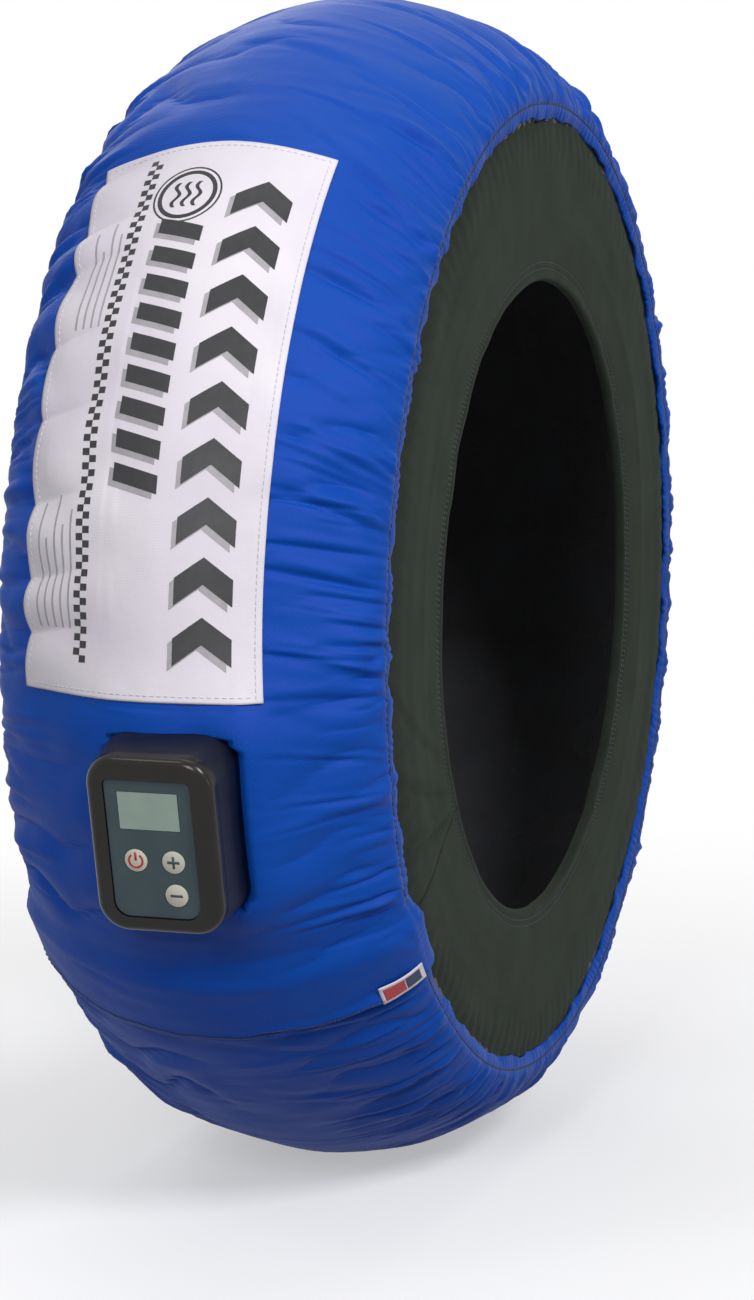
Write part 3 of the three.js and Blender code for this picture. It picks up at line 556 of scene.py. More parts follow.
def beside_unit(angle, width):
    """Distance outside the control unit's foot, negative under it, and the place across it as a share."""
    x = UNIT_WIDTH - width
    y = (angle - UNIT_ANGLE) * math.radians(1) * CROWN_RADIUS
    from_x = np.abs(x) - CASE_HALF_WIDTH + CASE_CORNER
    from_y = np.abs(y) - CASE_HALF_LENGTH + CASE_CORNER
    corner = np.hypot(np.maximum(from_x, 0), np.maximum(from_y, 0))
    return corner + np.minimum(np.maximum(from_x, from_y), 0) - CASE_CORNER, x / CASE_HALF_WIDTH


UNIT_PUFF = 8.5
NEAR_PUFF = 9
PUFF_REACH = 25


def unit_puff(angle, width):
    """The padded strip swells round the control unit, which its screws pull down into it."""
    distance, across = beside_unit(angle, width)
    swell = UNIT_PUFF + NEAR_PUFF * smoothstep(across, 0.2, 1.1)
    outside = np.exp(-(np.maximum(distance, 0) / PUFF_REACH) ** 1.6)
    return swell * outside * smoothstep(distance, -CASE_WALL - 2, -2)


NEAR_CREASES = 200
FAR_CREASES = 150
LOOSE_CREASES = 60


def cover_height():
    """How far each point of the cover's grid stands above the smooth section."""
    angle = column_angle[:, None] + 0 * row_width[None, :]
    near = from_near[None, :] + 0 * angle
    far = from_far[None, :] + 0 * angle
    across = np.clip(near / (2 * half_section), 0, 1)
    height = side_gathers(angle, near, False) + side_gathers(angle, far, True)
    lumps = smooth_noise(angle, across, 10, 5) * 1.4 + smooth_noise(angle, across, 24, 2) * 1.6
    body = smoothstep(np.minimum(near, far), 2, 30)
    height += np.maximum(lumps, -0.6) * body * (0.3 + 0.7 * smoothstep(np.abs(across - 0.5), 0.05, 0.35))
    for distance, count, side in ((near, NEAR_CREASES, -1), (far, FAR_CREASES, 1)):
        for _ in range(count):
            start = rng.uniform(-30, 322)
            begin = rng.uniform(-2, 8)
            length = rng.uniform(18, 92) if side > 0 else rng.uniform(16, 104)
            slant = rng.normal(0, 0.16) + (0.5 if 15 < start < 110 else 0.2)
            breadth = rng.uniform(0.9, 2.6)
            depth = breadth * rng.uniform(0.4, 0.95)
            add_crease(height, angle, distance, start, begin, length, slant, depth, breadth)
    for _ in range(LOOSE_CREASES):
        start, begin, length = rng.uniform(-28, 318), rng.uniform(20, 70), rng.uniform(50, 120)
        slant, depth, width = rng.normal(0.5, 0.4), rng.uniform(0.3, 1.0), rng.uniform(2.2, 4.5)
        add_crease(height, angle, near, start, begin, length, slant, depth, width)
    pinch = np.exp(-(np.minimum(np.abs(near), np.abs(far)) / 1.7) ** 2)
    height -= 1.5 * pinch
    foot, _ = beside_unit(angle, row_width[None, :])
    return height * smoothstep(foot, 0.5, 20) + unit_puff(angle, row_width[None, :])


def hem_scallops():
    """How far the hems' free edges reach in past their mean, zero at the stitch lines."""
    angle = column_angle[:, None] + 0 * row_width[None, :]
    outside = np.maximum(-np.minimum(from_near, from_far), 0)[None, :] / HEM_DROP
    side = (from_near < 0)[None, :] * 0.5 + 0 * angle
    wave = 1.3 * smooth_noise(angle, side, 3.3, 2) + 0.8 * smooth_noise(angle, side, 1.3, 2)
    return wave * outside * open_gathers(angle)


def blurred(field, column_radius, row_radius_cells):
    """The field averaged over a few columns and rows."""
    out = field
    for axis, radius in ((0, column_radius), (1, row_radius_cells)):
        for _ in range(2):
            padded = np.concatenate([
                np.repeat(out.take([0], axis), radius, axis), out,
                np.repeat(out.take([-1], axis), radius, axis)], axis)
            total = np.cumsum(padded, axis)
            zero = np.zeros_like(total.take([0], axis))
            total = np.concatenate([zero, total], axis)
            size = 2 * radius + 1
            count = out.shape[axis]
            out = (total.take(range(size, size + count), axis) - total.take(range(0, count), axis)) / size
    return out


def patch_cover(angle, width, margin):
    """1 inside the patch's outline and 0 outside it."""
    along = np.minimum(angle - PATCH_FROM, PATCH_TO - angle) * math.radians(1) * CROWN_RADIUS
    across = np.minimum(width - PATCH_NEAR, PATCH_FAR - width)
    return smoothstep(np.minimum(along, across), -margin, 0)


def tongue_lift(angle):
    """The tongue lies on the strip's other end, so it stands above the section."""
    return TONGUE_LIFT * (1 - smoothstep(angle, PADDED_FROM, PADDED_FROM + TONGUE_SLOPE))


# Valleys, in degrees, between the large folds that lift the patch's far edge
FOLD_VALLEYS = (-9, -4, 2, 7, 14, 22, 29.3, 37.5, 42, 49, 55, 62)
FOLD_HEIGHT = 3.8
FOLD_REACH = 42
FOLD_LEAN = 0.035


def far_folds(angle, width):
    """Folds of the strip under the patch's far edge, which lean up as they run in towards the crown."""
    inside = np.maximum(PATCH_FAR - width, 0)
    phase = np.interp(angle - FOLD_LEAN * inside, FOLD_VALLEYS, np.arange(len(FOLD_VALLEYS)))
    fade = 1 - smoothstep(inside, 4, FOLD_REACH)
    ends = smoothstep(angle, -9, 3) * (1 - smoothstep(angle, 50, 62))
    beyond = 1 - smoothstep(width, PATCH_FAR + 6, PATCH_FAR + 28)
    return FOLD_HEIGHT * (puffed(phase, 0.75) - 0.55) * fade * ends * beyond


cover_rise = cover_height()
edge_drop = hem_scallops()
folds = far_folds(column_angle[:, None] + 0 * row_width, row_width + 0 * column_angle[:, None])
patch_rise = blurred(cover_rise, 9, 1) + folds
cover_rise = cover_rise + folds
under_patch = patch_cover(column_angle[:, None], row_width[None, :], 4)
cover_rise = np.where(under_patch > 0, np.minimum(cover_rise, patch_rise), cover_rise)


def sample(field, angle, width):
    """The value of a field of the cover's grid at angles and widths on the tread."""
    column = np.interp(angle, column_angle, np.arange(len(column_angle)) * (1 - 1e-7))
    inner = slice(RUFFLE_ROWS, len(row_width) - RUFFLE_ROWS)
    row = np.interp(width, row_width[inner], np.arange(len(row_width))[inner])
    i, j = np.floor(column).astype(int), np.minimum(np.floor(row).astype(int), len(row_width) - 2)
    fi, fj = column - i, row - j
    low = field[i, j] * (1 - fi) + field[i + 1, j] * fi
    high = field[i, j + 1] * (1 - fi) + field[i + 1, j + 1] * fi
    return low * (1 - fj) + high * fj


def tongue_edge(width):
    """The tongue's free edge isn't quite straight."""
    share = width / PUFF_HALF_WIDTH
    return 0.16 * np.sin(7.3 * share + 0.6) + 0.1 * np.sin(17.1 * share + 2) + 0.05 * np.sin(39 * share)


def make_cover(name, columns):
    base = column_angle[columns, None] + 0 * row_width[None, :]
    angle = base + tongue_edge(row_width) * (1 - smoothstep(base, TONGUE_END, TONGUE_END + 5))
    height = cover_rise[columns] + tongue_lift(angle)
    radius = row_radius - edge_drop[columns]
    outer = on_ring(angle, row_width + normal_width * height, radius + normal_radius * height)
    inner_rows = np.linspace(len(row_width) - 1, 0, INNER_ROWS).round().astype(int)
    inner_height = np.minimum(height[:, inner_rows], 6) - COVER_THICKNESS - 0.4
    inner = on_ring(
        angle[:, inner_rows], row_width[inner_rows] + normal_width[inner_rows] * inner_height,
        radius[:, inner_rows] + normal_radius[inner_rows] * inner_height)
    along = np.radians(angle) * CROWN_RADIUS * MM
    across = from_near[None, :] * MM + 0 * along
    uv = np.stack([along, across], -1)
    points = np.concatenate([outer, inner], 1)
    obj = add_swept(name, points, np.concatenate([uv, uv[:, inner_rows]], 1))
    return dress(obj, nylon)


cover_front = make_cover("cover_front", slice(0, FRONT_COLUMNS))
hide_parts("outer_cover")
cover_back = make_cover("cover_back", slice(FRONT_COLUMNS - 1, None))
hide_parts("outer_cover")


# Patch and print
def tread_grid(along_stations, across_stations, height):
    """Points over a stretch of the tread, at angles and widths, a height above the patch's own surface."""
    angle, width = np.meshgrid(along_stations, across_stations, indexing="ij")
    rise = sample(patch_rise, angle, width)
    return skin_at(angle, width, rise + height)


def slab(name, low, high, uv=None):
    """A thin closed body between two grids of points of the same shape."""
    columns, rows, _ = low.shape
    count = columns * rows
    top = [tuple(f) for f in grid_faces(columns, rows, False)]
    bottom = [tuple(int(v) + count for v in reversed(f)) for f in top]
    left = [i * rows for i in range(columns)]
    right = [i * rows + rows - 1 for i in range(columns)]
    first = list(range(rows))
    last = [(columns - 1) * rows + j for j in range(rows)]
    sides = []
    for chain in (left, right, first, last):
        sides += [(a, b, b + count, a + count) for a, b in zip(chain, chain[1:])]
    obj = add_object(name, np.concatenate([high.reshape(-1, 3), low.reshape(-1, 3)]), top + bottom + sides)
    if uv is not None:
        add_uv(obj, np.concatenate([uv.reshape(-1, 2)] * 2))
    return facing_out(obj)


PATCH_FOOT = 0.15
PATCH_TOP = PATCH_FOOT + PATCH_THICKNESS
PRINT_TOP = PATCH_TOP + 0.1
PRINT_STEP = 2.5


def make_patch():
    angle = np.linspace(PATCH_FROM, PATCH_TO, 240)
    width = np.linspace(PATCH_NEAR, PATCH_FAR, 96)
    u, v = np.meshgrid(np.radians(angle) * CROWN_RADIUS * MM, width * MM, indexing="ij")
    foot, top = (tread_grid(angle, width, height) for height in (PATCH_FOOT, PATCH_TOP))
    return slab("patch", foot, top, np.stack([u, v], -1))


def printed_quad(corners, lift=0.0):
    """One printed field, from corners in millimetres along and across the patch."""
    a, b, c, d = [np.array(corner, float) for corner in corners]
    longest = max(np.linalg.norm(b - a), np.linalg.norm(c - d))
    widest = max(np.linalg.norm(d - a), np.linalg.norm(c - b))
    s = np.linspace(0, 1, max(int(longest / PRINT_STEP), 1) + 1)[:, None, None]
    t = np.linspace(0, 1, max(int(widest / PRINT_STEP), 1) + 1)[None, :, None]
    flat = (a * (1 - s) + b * s) * (1 - t) + (d * (1 - s) + c * s) * t
    angle = PATCH_FROM + np.degrees(flat[..., 0] / CROWN_RADIUS)
    width = PATCH_NEAR + flat[..., 1]
    rise = sample(patch_rise, angle, width)
    low = skin_at(angle, width, rise + PATCH_TOP - 0.05)
    high = skin_at(angle, width, rise + PRINT_TOP + lift)
    return slab("field", low, high)


def printed_fields(name, quads, material, lift=0.0):
    obj = join_all(name, [printed_quad(corners, lift) for corners in quads])
    obj.data.polygons.foreach_set("use_smooth", [False] * len(obj.data.polygons))
    return dress(obj, material)


def leaning_bar(along, across, length, breadth, lean):
    """A bar across the patch that leans along it."""
    end, far = along + length, across + breadth
    return [(along, across), (end, across), (end + lean, far), (along + lean, far)]


def chevron(along, across, length, breadth, point):
    half = breadth / 2
    return [
        leaning_bar(along, across, length, half, point),
        leaning_bar(along + point, across + half, length, half, -point),
    ]


def ring_fields(centre, inner, outer, steps=36):
    quads = []
    for step in range(steps):
        turn, after = (2 * math.pi * k / steps for k in (step, step + 1))
        quads.append([
            (centre[0] + r * math.cos(t), centre[1] + r * math.sin(t))
            for r, t in ((inner, turn), (outer, turn), (outer, after), (inner, after))])
    return quads


def wave_fields(centre, length, breadth, swing, shift):
    """A rising heat wave, along the patch."""
    quads = []
    steps = 14
    for step in range(steps):
        pair = []
        for k in (step, step + 1):
            along = centre[0] - length / 2 + length * k / steps
            across = centre[1] + shift + swing * math.sin(2 * math.pi * 1.5 * k / steps)
            pair.append((along, across))
        (a, p), (b, q) = pair
        quads.append([(a, p - breadth / 2), (b, q - breadth / 2), (b, q + breadth / 2), (a, p + breadth / 2)])
    return quads


patch = dress(make_patch(), patch_cloth)
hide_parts("label_patch")
PATCH_LENGTH = math.radians(PATCH_TO - PATCH_FROM) * CROWN_RADIUS
PATCH_BREADTH = PATCH_FAR - PATCH_NEAR


# Print on the patch, in millimetres from its lower near corner
SHADOW = (-2.6, 2.4)
chevrons = [quad for k in range(9) for quad in chevron(18 + 30.5 * k, 14, 14, 29, 11)]
bars = [leaning_bar(104 + 17.5 * k, 55, 9.5, 25, 7) for k in range(9)]
dark_fields = chevrons + bars
shadow_fields = [[(x + SHADOW[0], y + SHADOW[1]) for x, y in quad] for quad in dark_fields]
printed_fields("print_shadows", shadow_fields, print_grey)
printed_fields("print_bars", dark_fields, print_dark, 0.08)

CHECK = 3.7
CHECK_ROW = 91
check_fields = []
for k in range(int((PATCH_LENGTH - 24) / CHECK)):
    along = 17 + CHECK * k
    across = CHECK_ROW + (k % 2) * CHECK
    check_fields.append(leaning_bar(along, across, CHECK, CHECK, 0))
printed_fields("print_checks", check_fields, print_dark)

ROUNDEL = (276, 70)
roundel = ring_fields(ROUNDEL, 14.2, 16.6) + ring_fields(ROUNDEL, 18.2, 19.2)
for shift in (-6, 0, 6):
    roundel += wave_fields(ROUNDEL, 17, 2.2, 1.6, shift)
printed_fields("print_roundel", roundel, print_dark)

small_lines = []
for first, count, lengths in ((34, 5, (62, 54, 70, 47, 66)), (196, 4, (58, 66, 49, 61))):
    for k in range(count):
        small_lines.append(leaning_bar(first, 101 + 4.6 * k, lengths[k], 1.1, 0))
printed_fields("print_lines", small_lines, print_grey)


# Sewn threads
def add_stitches(name, points, normals, material, length, radius, body=BODY):
    """One short bead of thread at each point, lying along the row."""
    sides = 6
    profile = [(-0.5, 0.25), (-0.3, 0.9), (0, 1), (0.3, 0.9), (0.5, 0.25)]
    ahead = np.roll(points, -1, 0) - np.roll(points, 1, 0)
    ahead[0] = points[1] - points[0]
    ahead[-1] = points[-1] - points[-2]
    ahead /= np.linalg.norm(ahead, axis=1)[:, None]
    side = np.cross(normals, ahead)
    side /= np.linalg.norm(side, axis=1)[:, None]
    up = np.cross(ahead, side)
    turn = 2 * np.pi * np.arange(sides) / sides
    rings = []
    for shift, share in profile:
        centre = points + ahead * shift * length
        ring = centre[:, None, :] + share * radius * (
            side[:, None, :] * np.cos(turn)[None, :, None] + up[:, None, :] * np.sin(turn)[None, :, None])
        rings.append(ring)
    vertices = np.stack(rings, 1)
    count, levels = vertices.shape[:2]
    faces = []
    base = np.arange(count) * levels * sides
    for start in base:
        for level in range(levels - 1):
            for k in range(sides):
                a = start + level * sides + k
                b = start + level * sides + (k + 1) % sides
                faces.append((a, b, b + sides, a + sides))
        faces.append(tuple(start + k for k in reversed(range(sides))))
        faces.append(tuple(start + (levels - 1) * sides + k for k in range(sides)))
    obj = add_object(name, vertices.reshape(-1, 3), faces)
    return dress(facing_out(obj), material, body)


def normals_of(points):
    """Directions away from the ring's centre."""
    return points / np.linalg.norm(points, axis=1)[:, None]


def hem_stitches(side):
    """Black thread along the hem, sunk between the gathers."""
    pitch = 3.3
    radius = crown_at(PUFF_HALF_WIDTH)
    count = int(math.radians(PADDED_TO - PADDED_FROM) * radius / pitch)
    angle = np.linspace(PADDED_FROM + 0.4, PADDED_TO - 0.4, count)
    row = RUFFLE_ROWS if side < 0 else len(row_width) - RUFFLE_ROWS - 1
    height = np.interp(angle, column_angle, cover_rise[:, row])
    width = row_width[row] + normal_width[row] * (height + 0.25)
    out = row_radius[row] + normal_radius[row] * (height + 0.25)
    points = on_ring(angle, width, out)
    normals = np.tile([0.0, side, 0.0], (len(points), 1))
    name = "near_hem_thread" if side < 0 else "far_hem_thread"
    return add_stitches(name, points, normals, thread_black, 2.6 * MM, 0.55 * MM)


hem_stitches(-1)
hem_stitches(1)


def patch_stitches():
    inset = 3.2
    pitch = 3.4
    length = PATCH_LENGTH - 2 * inset
    breadth = PATCH_BREADTH - 2 * inset
    route = [(inset + length * k, inset) for k in np.linspace(0, 1, int(length / pitch))]
    route += [(inset + length, inset + breadth * k) for k in np.linspace(0, 1, int(breadth / pitch))[1:]]
    route += [(inset + length * (1 - k), inset + breadth) for k in np.linspace(0, 1, int(length / pitch))[1:]]
    route += [(inset, inset + breadth * (1 - k)) for k in np.linspace(0, 1, int(breadth / pitch))[1:-1]]
    flat = np.array(route)
    angle = PATCH_FROM + np.degrees(flat[:, 0] / CROWN_RADIUS)
    width = PATCH_NEAR + flat[:, 1]
    points = skin_at(angle, width, sample(patch_rise, angle, width) + PATCH_TOP + 0.05)
    normals = normals_of(points)
    return add_stitches("patch_thread", points, normals, thread_pale, 2.6 * MM, 0.28 * MM)


patch_stitches()


def tongue_stitches():
    """Black thread 3 mm above the tongue's free edge."""
    width = np.linspace(-PUFF_HALF_WIDTH + 1.5, PUFF_HALF_WIDTH - 1.5, 96)
    angle = TONGUE_END + 0.55 + tongue_edge(width)
    height = sample(cover_rise, angle, width) + tongue_lift(angle) + 0.15
    points = skin_at(angle, width, height)
    normals = normals_of(points)
    return add_stitches("tongue_thread", points, normals, thread_black, 2.4 * MM, 0.4 * MM)


tongue_stitches()


# Side walls: one closed section from under the hem, down to the rolled edge, and back up inside
WALL_TOP = 274
ROLL_RADIUS = 3.1
FOLD_TOP = 190
GROOVES = (184.6, 188.4)


def wall_outside(radius):
    """Width of the wall's outer face at a radius, with the sewn grooves above the rolled edge."""
    bulge = WALL_BULGE * np.sin(np.pi * np.clip((radius - 184) / 88, 0, 1)) ** 0.8
    tuck = 2 * smoothstep(radius, 252, WALL_TOP)
    roll = 0.5 * np.exp(-((radius - 180.8) / 2.4) ** 2)
    groove = sum(0.45 * np.exp(-((radius - middle) / 0.9) ** 2) for middle in GROOVES)
    return OPENING_HALF_WIDTH + bulge - tuck + roll - groove


def wall_section():
    down = np.concatenate([np.linspace(WALL_TOP, 194, 34, endpoint=False), np.linspace(194, 180.8, 22)])
    outer = np.stack([wall_outside(down), down])
    turn = np.radians(np.linspace(0, 180, 10))[1:]
    middle = OPENING_HALF_WIDTH + 0.5 - ROLL_RADIUS
    roll = np.stack([middle + ROLL_RADIUS * np.cos(turn), 180.8 - ROLL_RADIUS * np.sin(turn)])
    fold = np.array([[middle - ROLL_RADIUS, FOLD_TOP], [middle - ROLL_RADIUS + 2.4, FOLD_TOP + 0.8]]).T
    up = np.linspace(FOLD_TOP + 3, WALL_TOP, 14)
    inner = np.stack([wall_outside(up) - WALL_THICKNESS, up])
    return np.concatenate([outer, roll, fold, inner], 1)


def wall_dents(angle, radius):
    """Soft dents, and puckers that run in from the gathered hem."""
    across = np.clip((radius - OPENING_RADIUS) / (WALL_TOP - OPENING_RADIUS), 0, 1)
    soft = 0.9 * smooth_noise(angle, across, 26, 3) + 0.35 * smooth_noise(angle, across, 8, 5)
    pucker = 1.1 * puffed(angle / 2.7 + 0.7 * smooth_noise(angle, across, 9, 3), 0.8)
    pucker = pucker * smoothstep(radius, 236, 264)
    ripple = 0.3 * smooth_noise(angle, across * 0, 4, 1) * (1 - smoothstep(radius, 178, 196))
    for middle, breadth in ((214, 4), (236, 6)):
        uneven = 0.6 + 0.4 * smooth_noise(angle, across, 30, 1)
        soft += 0.5 * np.exp(-((radius - middle) / breadth) ** 2) * uneven
    folds = np.zeros_like(angle)
    for start, lean, depth in ((-27, 0.10, 1.6), (-20, 0.16, 1.1), (-12, 0.2, 0.8)):
        offset = (angle - start - lean * (radius - 230)) * math.radians(1) * 230
        folds += depth * (np.exp(-((offset - 6) / 4) ** 2) - np.exp(-(offset / 3.2) ** 2))
    return soft + pucker * 0.8 + ripple + folds * smoothstep(radius, 186, 205)


def make_wall(name, side):
    section = wall_section()
    angle = np.linspace(PADDED_FROM, CLOSED_TO, WALL_COLUMNS)[:, None] + 0 * section[0]
    radius = section[1] + 0 * angle
    dents = wall_dents(angle, radius)
    width = side * (section[0] + dents)
    points = on_ring(angle, width, radius)
    along = np.radians(angle) * 230 * MM
    run = np.concatenate([[0], np.cumsum(np.hypot(*np.diff(section, axis=1)))]) * MM
    obj = add_swept(name, points, np.stack([along, run + 0 * along], -1))
    for row, middle in enumerate(GROOVES):
        pitch = 3.1
        count = int(math.radians(PADDED_TO - PADDED_FROM) * middle / pitch)
        stations = np.linspace(PADDED_FROM + 0.3, PADDED_TO - 0.3, count)
        level = np.full(count, float(middle))
        place = np.argmin(np.abs(section[1][:50] - middle))
        lift = np.interp(stations, angle[:, place], dents[:, place])
        thread = on_ring(stations, side * (wall_outside(level) + lift + 0.12), level)
        normals = np.tile([0.0, side, 0.0], (count, 1))
        thread_name = f"{name}_thread_{row + 1}"
        add_stitches(thread_name, thread, normals, thread_black, 2.1 * MM, 0.46 * MM)
    return dress(obj, neoprene)


for wall_name, node, side in (("near_wall", "near_side_wall", -1), ("far_wall", "far_side_wall", 1)):
    wall = make_wall(wall_name, side)
    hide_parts(node)


# Lining: the face that lies on the tyre, seen through the opening
LINER_DEPTH = 11.4
LINER_THICKNESS = 0.9
LINER_SHARE = 0.87
QUILT_PITCH = 24


def make_lining():
    share = np.linspace(-LINER_SHARE, LINER_SHARE, 61)
    width = share * PUFF_HALF_WIDTH
    across, out = skin_normal(width)
    flank = HEM_HALF_WIDTH - 6.1
    flank_radius = np.linspace(crown_at(PUFF_HALF_WIDTH) - HEM_DROP, 284, 5)
    left = np.stack([np.full(5, -flank), flank_radius])
    right = np.stack([np.full(5, flank), flank_radius[::-1]])

    def face(depth, inset):
        skin = np.stack([width - across * depth, crown_at(width) - out * depth])
        shift = np.array([[inset], [0]])
        return np.concatenate([left + shift, skin, right - shift], 1)

    columns = np.linspace(PADDED_FROM, CLOSED_TO, LINING_COLUMNS)[:, None]
    outer, inner = face(LINER_DEPTH, 0), face(LINER_DEPTH + LINER_THICKNESS, LINER_THICKNESS)
    place = np.linspace(0, 1, inner.shape[1])[None, :] + 0 * columns
    angle = columns + 0 * place
    rows = [1.2 * np.exp(-((place - middle) / 0.008) ** 2) for middle in (0.22, 0.5, 0.78)]
    seam = (np.mod(angle + QUILT_PITCH / 2, QUILT_PITCH) - QUILT_PITCH / 2) * math.radians(1) * 300
    rows.append(1.2 * np.exp(-(seam / 2.2) ** 2))
    pillow = 1.5 * smooth_noise(angle, place, 7, 6) + 0.8 * smooth_noise(angle, place, 3, 12)
    rise = np.maximum(pillow * 0.5 + 0.6, 0) * smoothstep(np.minimum(place, 1 - place), 0.08, 0.16)
    rise = np.maximum(rise - np.maximum.reduce(rows) * 0.8, -0.2)
    inner_points = on_ring(angle, inner[0] + 0 * rise, inner[1] - rise)
    outer_points = on_ring(angle, outer[0] + 0 * rise, outer[1] + 0 * rise)
    points = np.concatenate([outer_points, inner_points[:, ::-1]], 1)
    along = np.radians(angle) * 300 * MM
    uv = np.stack([along, place * 0.28], -1)
    return add_swept("lining", points, np.concatenate([uv, uv[:, ::-1]], 1))


inner_face = dress(make_lining(), lining)
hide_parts("inner_liner")


# Tag in the tongue's edge seam: a white border round two plain fields
TAG_FROM = TONGUE_END + 0.2
TAG_THICKNESS = 0.8


def tag_points(along, width, height):
    """Points on the tag: along and width are shares of its height and breadth."""
    angle = TAG_FROM + TAG_ARC * along
    place = TAG_NEAR + (TAG_FAR - TAG_NEAR) * width
    rise = sample(cover_rise, angle, place) * 0.5 + TONGUE_LIFT + 0.5
    curl = 0.8 * along * np.sin(np.pi * width)
    return skin_at(angle, place, rise + curl + height)


def tag_slab(name, along, width, low, high):
    u, v = np.meshgrid(np.linspace(*along, 14), np.linspace(*width, 18), indexing="ij")
    return slab(name, tag_points(u, v, low), tag_points(u, v, high))


tag = dress(tag_slab("tag", (0, 1), (0, 1), 0, TAG_THICKNESS), patch_cloth)
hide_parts("seam_tag")
dress(tag_slab("tag_red", (0.16, 0.84), (0.42, 0.92), 0.5, TAG_THICKNESS + 0.08), print_red)
dress(tag_slab("tag_navy", (0.16, 0.84), (0.08, 0.4), 0.5, TAG_THICKNESS + 0.08), print_navy)


# Control unit
unit_turn = math.radians(UNIT_ANGLE)
unit_out = np.array([-math.cos(unit_turn), 0, math.sin(unit_turn)])
unit_up = np.array([math.sin(unit_turn), 0, math.cos(unit_turn)])
unit_right = np.array([0, -1, 0])
unit_origin = unit_out * CROWN_RADIUS + np.array([0, UNIT_WIDTH, 0])
OVERLAY_TOP = CASE_HEIGHT - OVERLAY_RECESS
OVERLAY_BOTTOM = OVERLAY_TOP - OVERLAY_THICKNESS
FACE_TOP = OVERLAY_BOTTOM - CLEARANCE
FACE_BOTTOM = FACE_TOP - FACE_PLATE
CORNER_STEPS = 10
BOSS_INSET = 11.5
BOSS_RADIUS = 4
SCREW_HOLE = 1.8
BOARD_BOTTOM = 21.7
BOARD_TOP = 23.3
LEAD_PLACE = (0, -24)
GROMMET_HALF = (10.1, 3.1)
INLET_HALF = (10, 6)
INLET_HEIGHT = 15


def in_unit(points):
    """Metres in the shared frame, from millimetres in the unit's frame."""
    points = np.asarray(points, float)
    x, y, z = points[..., :1], points[..., 1:2], points[..., 2:3]
    return (unit_origin + x * unit_right + y * unit_up + z * unit_out) * MM


def rounded_outline(half_width, half_length, corner, low_corner=None, centre=(0, 0), steps=CORNER_STEPS):
    low_corner = corner if low_corner is None else low_corner
    points = []
    for sx, sy, start in ((1, 1, 0), (-1, 1, 90), (-1, -1, 180), (1, -1, 270)):
        radius = max(corner if sy > 0 else low_corner, 0.05)
        for step in range(steps + 1):
            turn = math.radians(start + 90 * step / steps)
            points.append((
                centre[0] + sx * (half_width - radius) + radius * math.cos(turn),
                centre[1] + sy * (half_length - radius) + radius * math.sin(turn)))
    return np.array(points)


def at_height(outline, z):
    return np.concatenate([outline, np.broadcast_to(np.reshape(z, (-1, 1)), (len(outline), 1))], 1)


def loft(name, loops):
    """A closed body through loops of the unit's frame, flat at both ends."""
    points = np.stack([in_unit(loop) for loop in loops])
    return add_swept(name, points)


def case_outline(z, inset=0):
    """The case's outline at a height, moved in by an inset."""
    inside = CASE_DRAFT * z / CASE_HEIGHT + inset
    return rounded_outline(CASE_HALF_WIDTH - inside, CASE_HALF_LENGTH - inside, CASE_CORNER - inset)


def post(name, place, radius, low_z, high_z, sides=32):
    turn = 2 * np.pi * np.arange(sides) / sides
    ring = np.stack([place[0] + radius * np.cos(turn), place[1] + radius * np.sin(turn)], -1)
    return loft(name, [at_height(ring, low_z), at_height(ring, high_z)])


def box_block(name, half, centre, low_z, high_z):
    outline = rounded_outline(*half, 0.05, centre=centre, steps=1)
    return loft(name, [at_height(outline, low_z), at_height(outline, high_z)])


def shaped(target, tools, operation):
    """The body after tools are cut from it or joined to it."""
    for tool in tools:
        step = target.modifiers.new(operation, "BOOLEAN")
        step.operation = operation
        step.solver = "EXACT"
        step.object = tool
    graph = bpy.context.evaluated_depsgraph_get()
    mesh = bpy.data.meshes.new_from_object(target.evaluated_get(graph))
    target.modifiers.clear()
    target.data = mesh
    for tool in tools:
        bpy.data.objects.remove(tool)
    return target


def soften(obj, width, angle=30):
    """Small rounded edges where faces meet sharply, and smooth shading elsewhere."""
    bevel = obj.modifiers.new("edges", "BEVEL")
    bevel.width = width * MM
    bevel.segments = 2
    bevel.limit_method = "ANGLE"
    bevel.angle_limit = math.radians(angle)
    bevel.harden_normals = True
    return obj


boss_x, boss_y = CASE_HALF_WIDTH - BOSS_INSET, CASE_HALF_LENGTH - BOSS_INSET
bosses = [(sx * boss_x, sy * boss_y) for sx in (1, -1) for sy in (1, -1)]


def crown_under(outline, gap):
    """Height of the cover's crown under points of the unit's frame."""
    radius = crown_at(UNIT_WIDTH - outline[:, 0])
    return np.sqrt(radius ** 2 - outline[:, 1] ** 2) - CROWN_RADIUS + gap


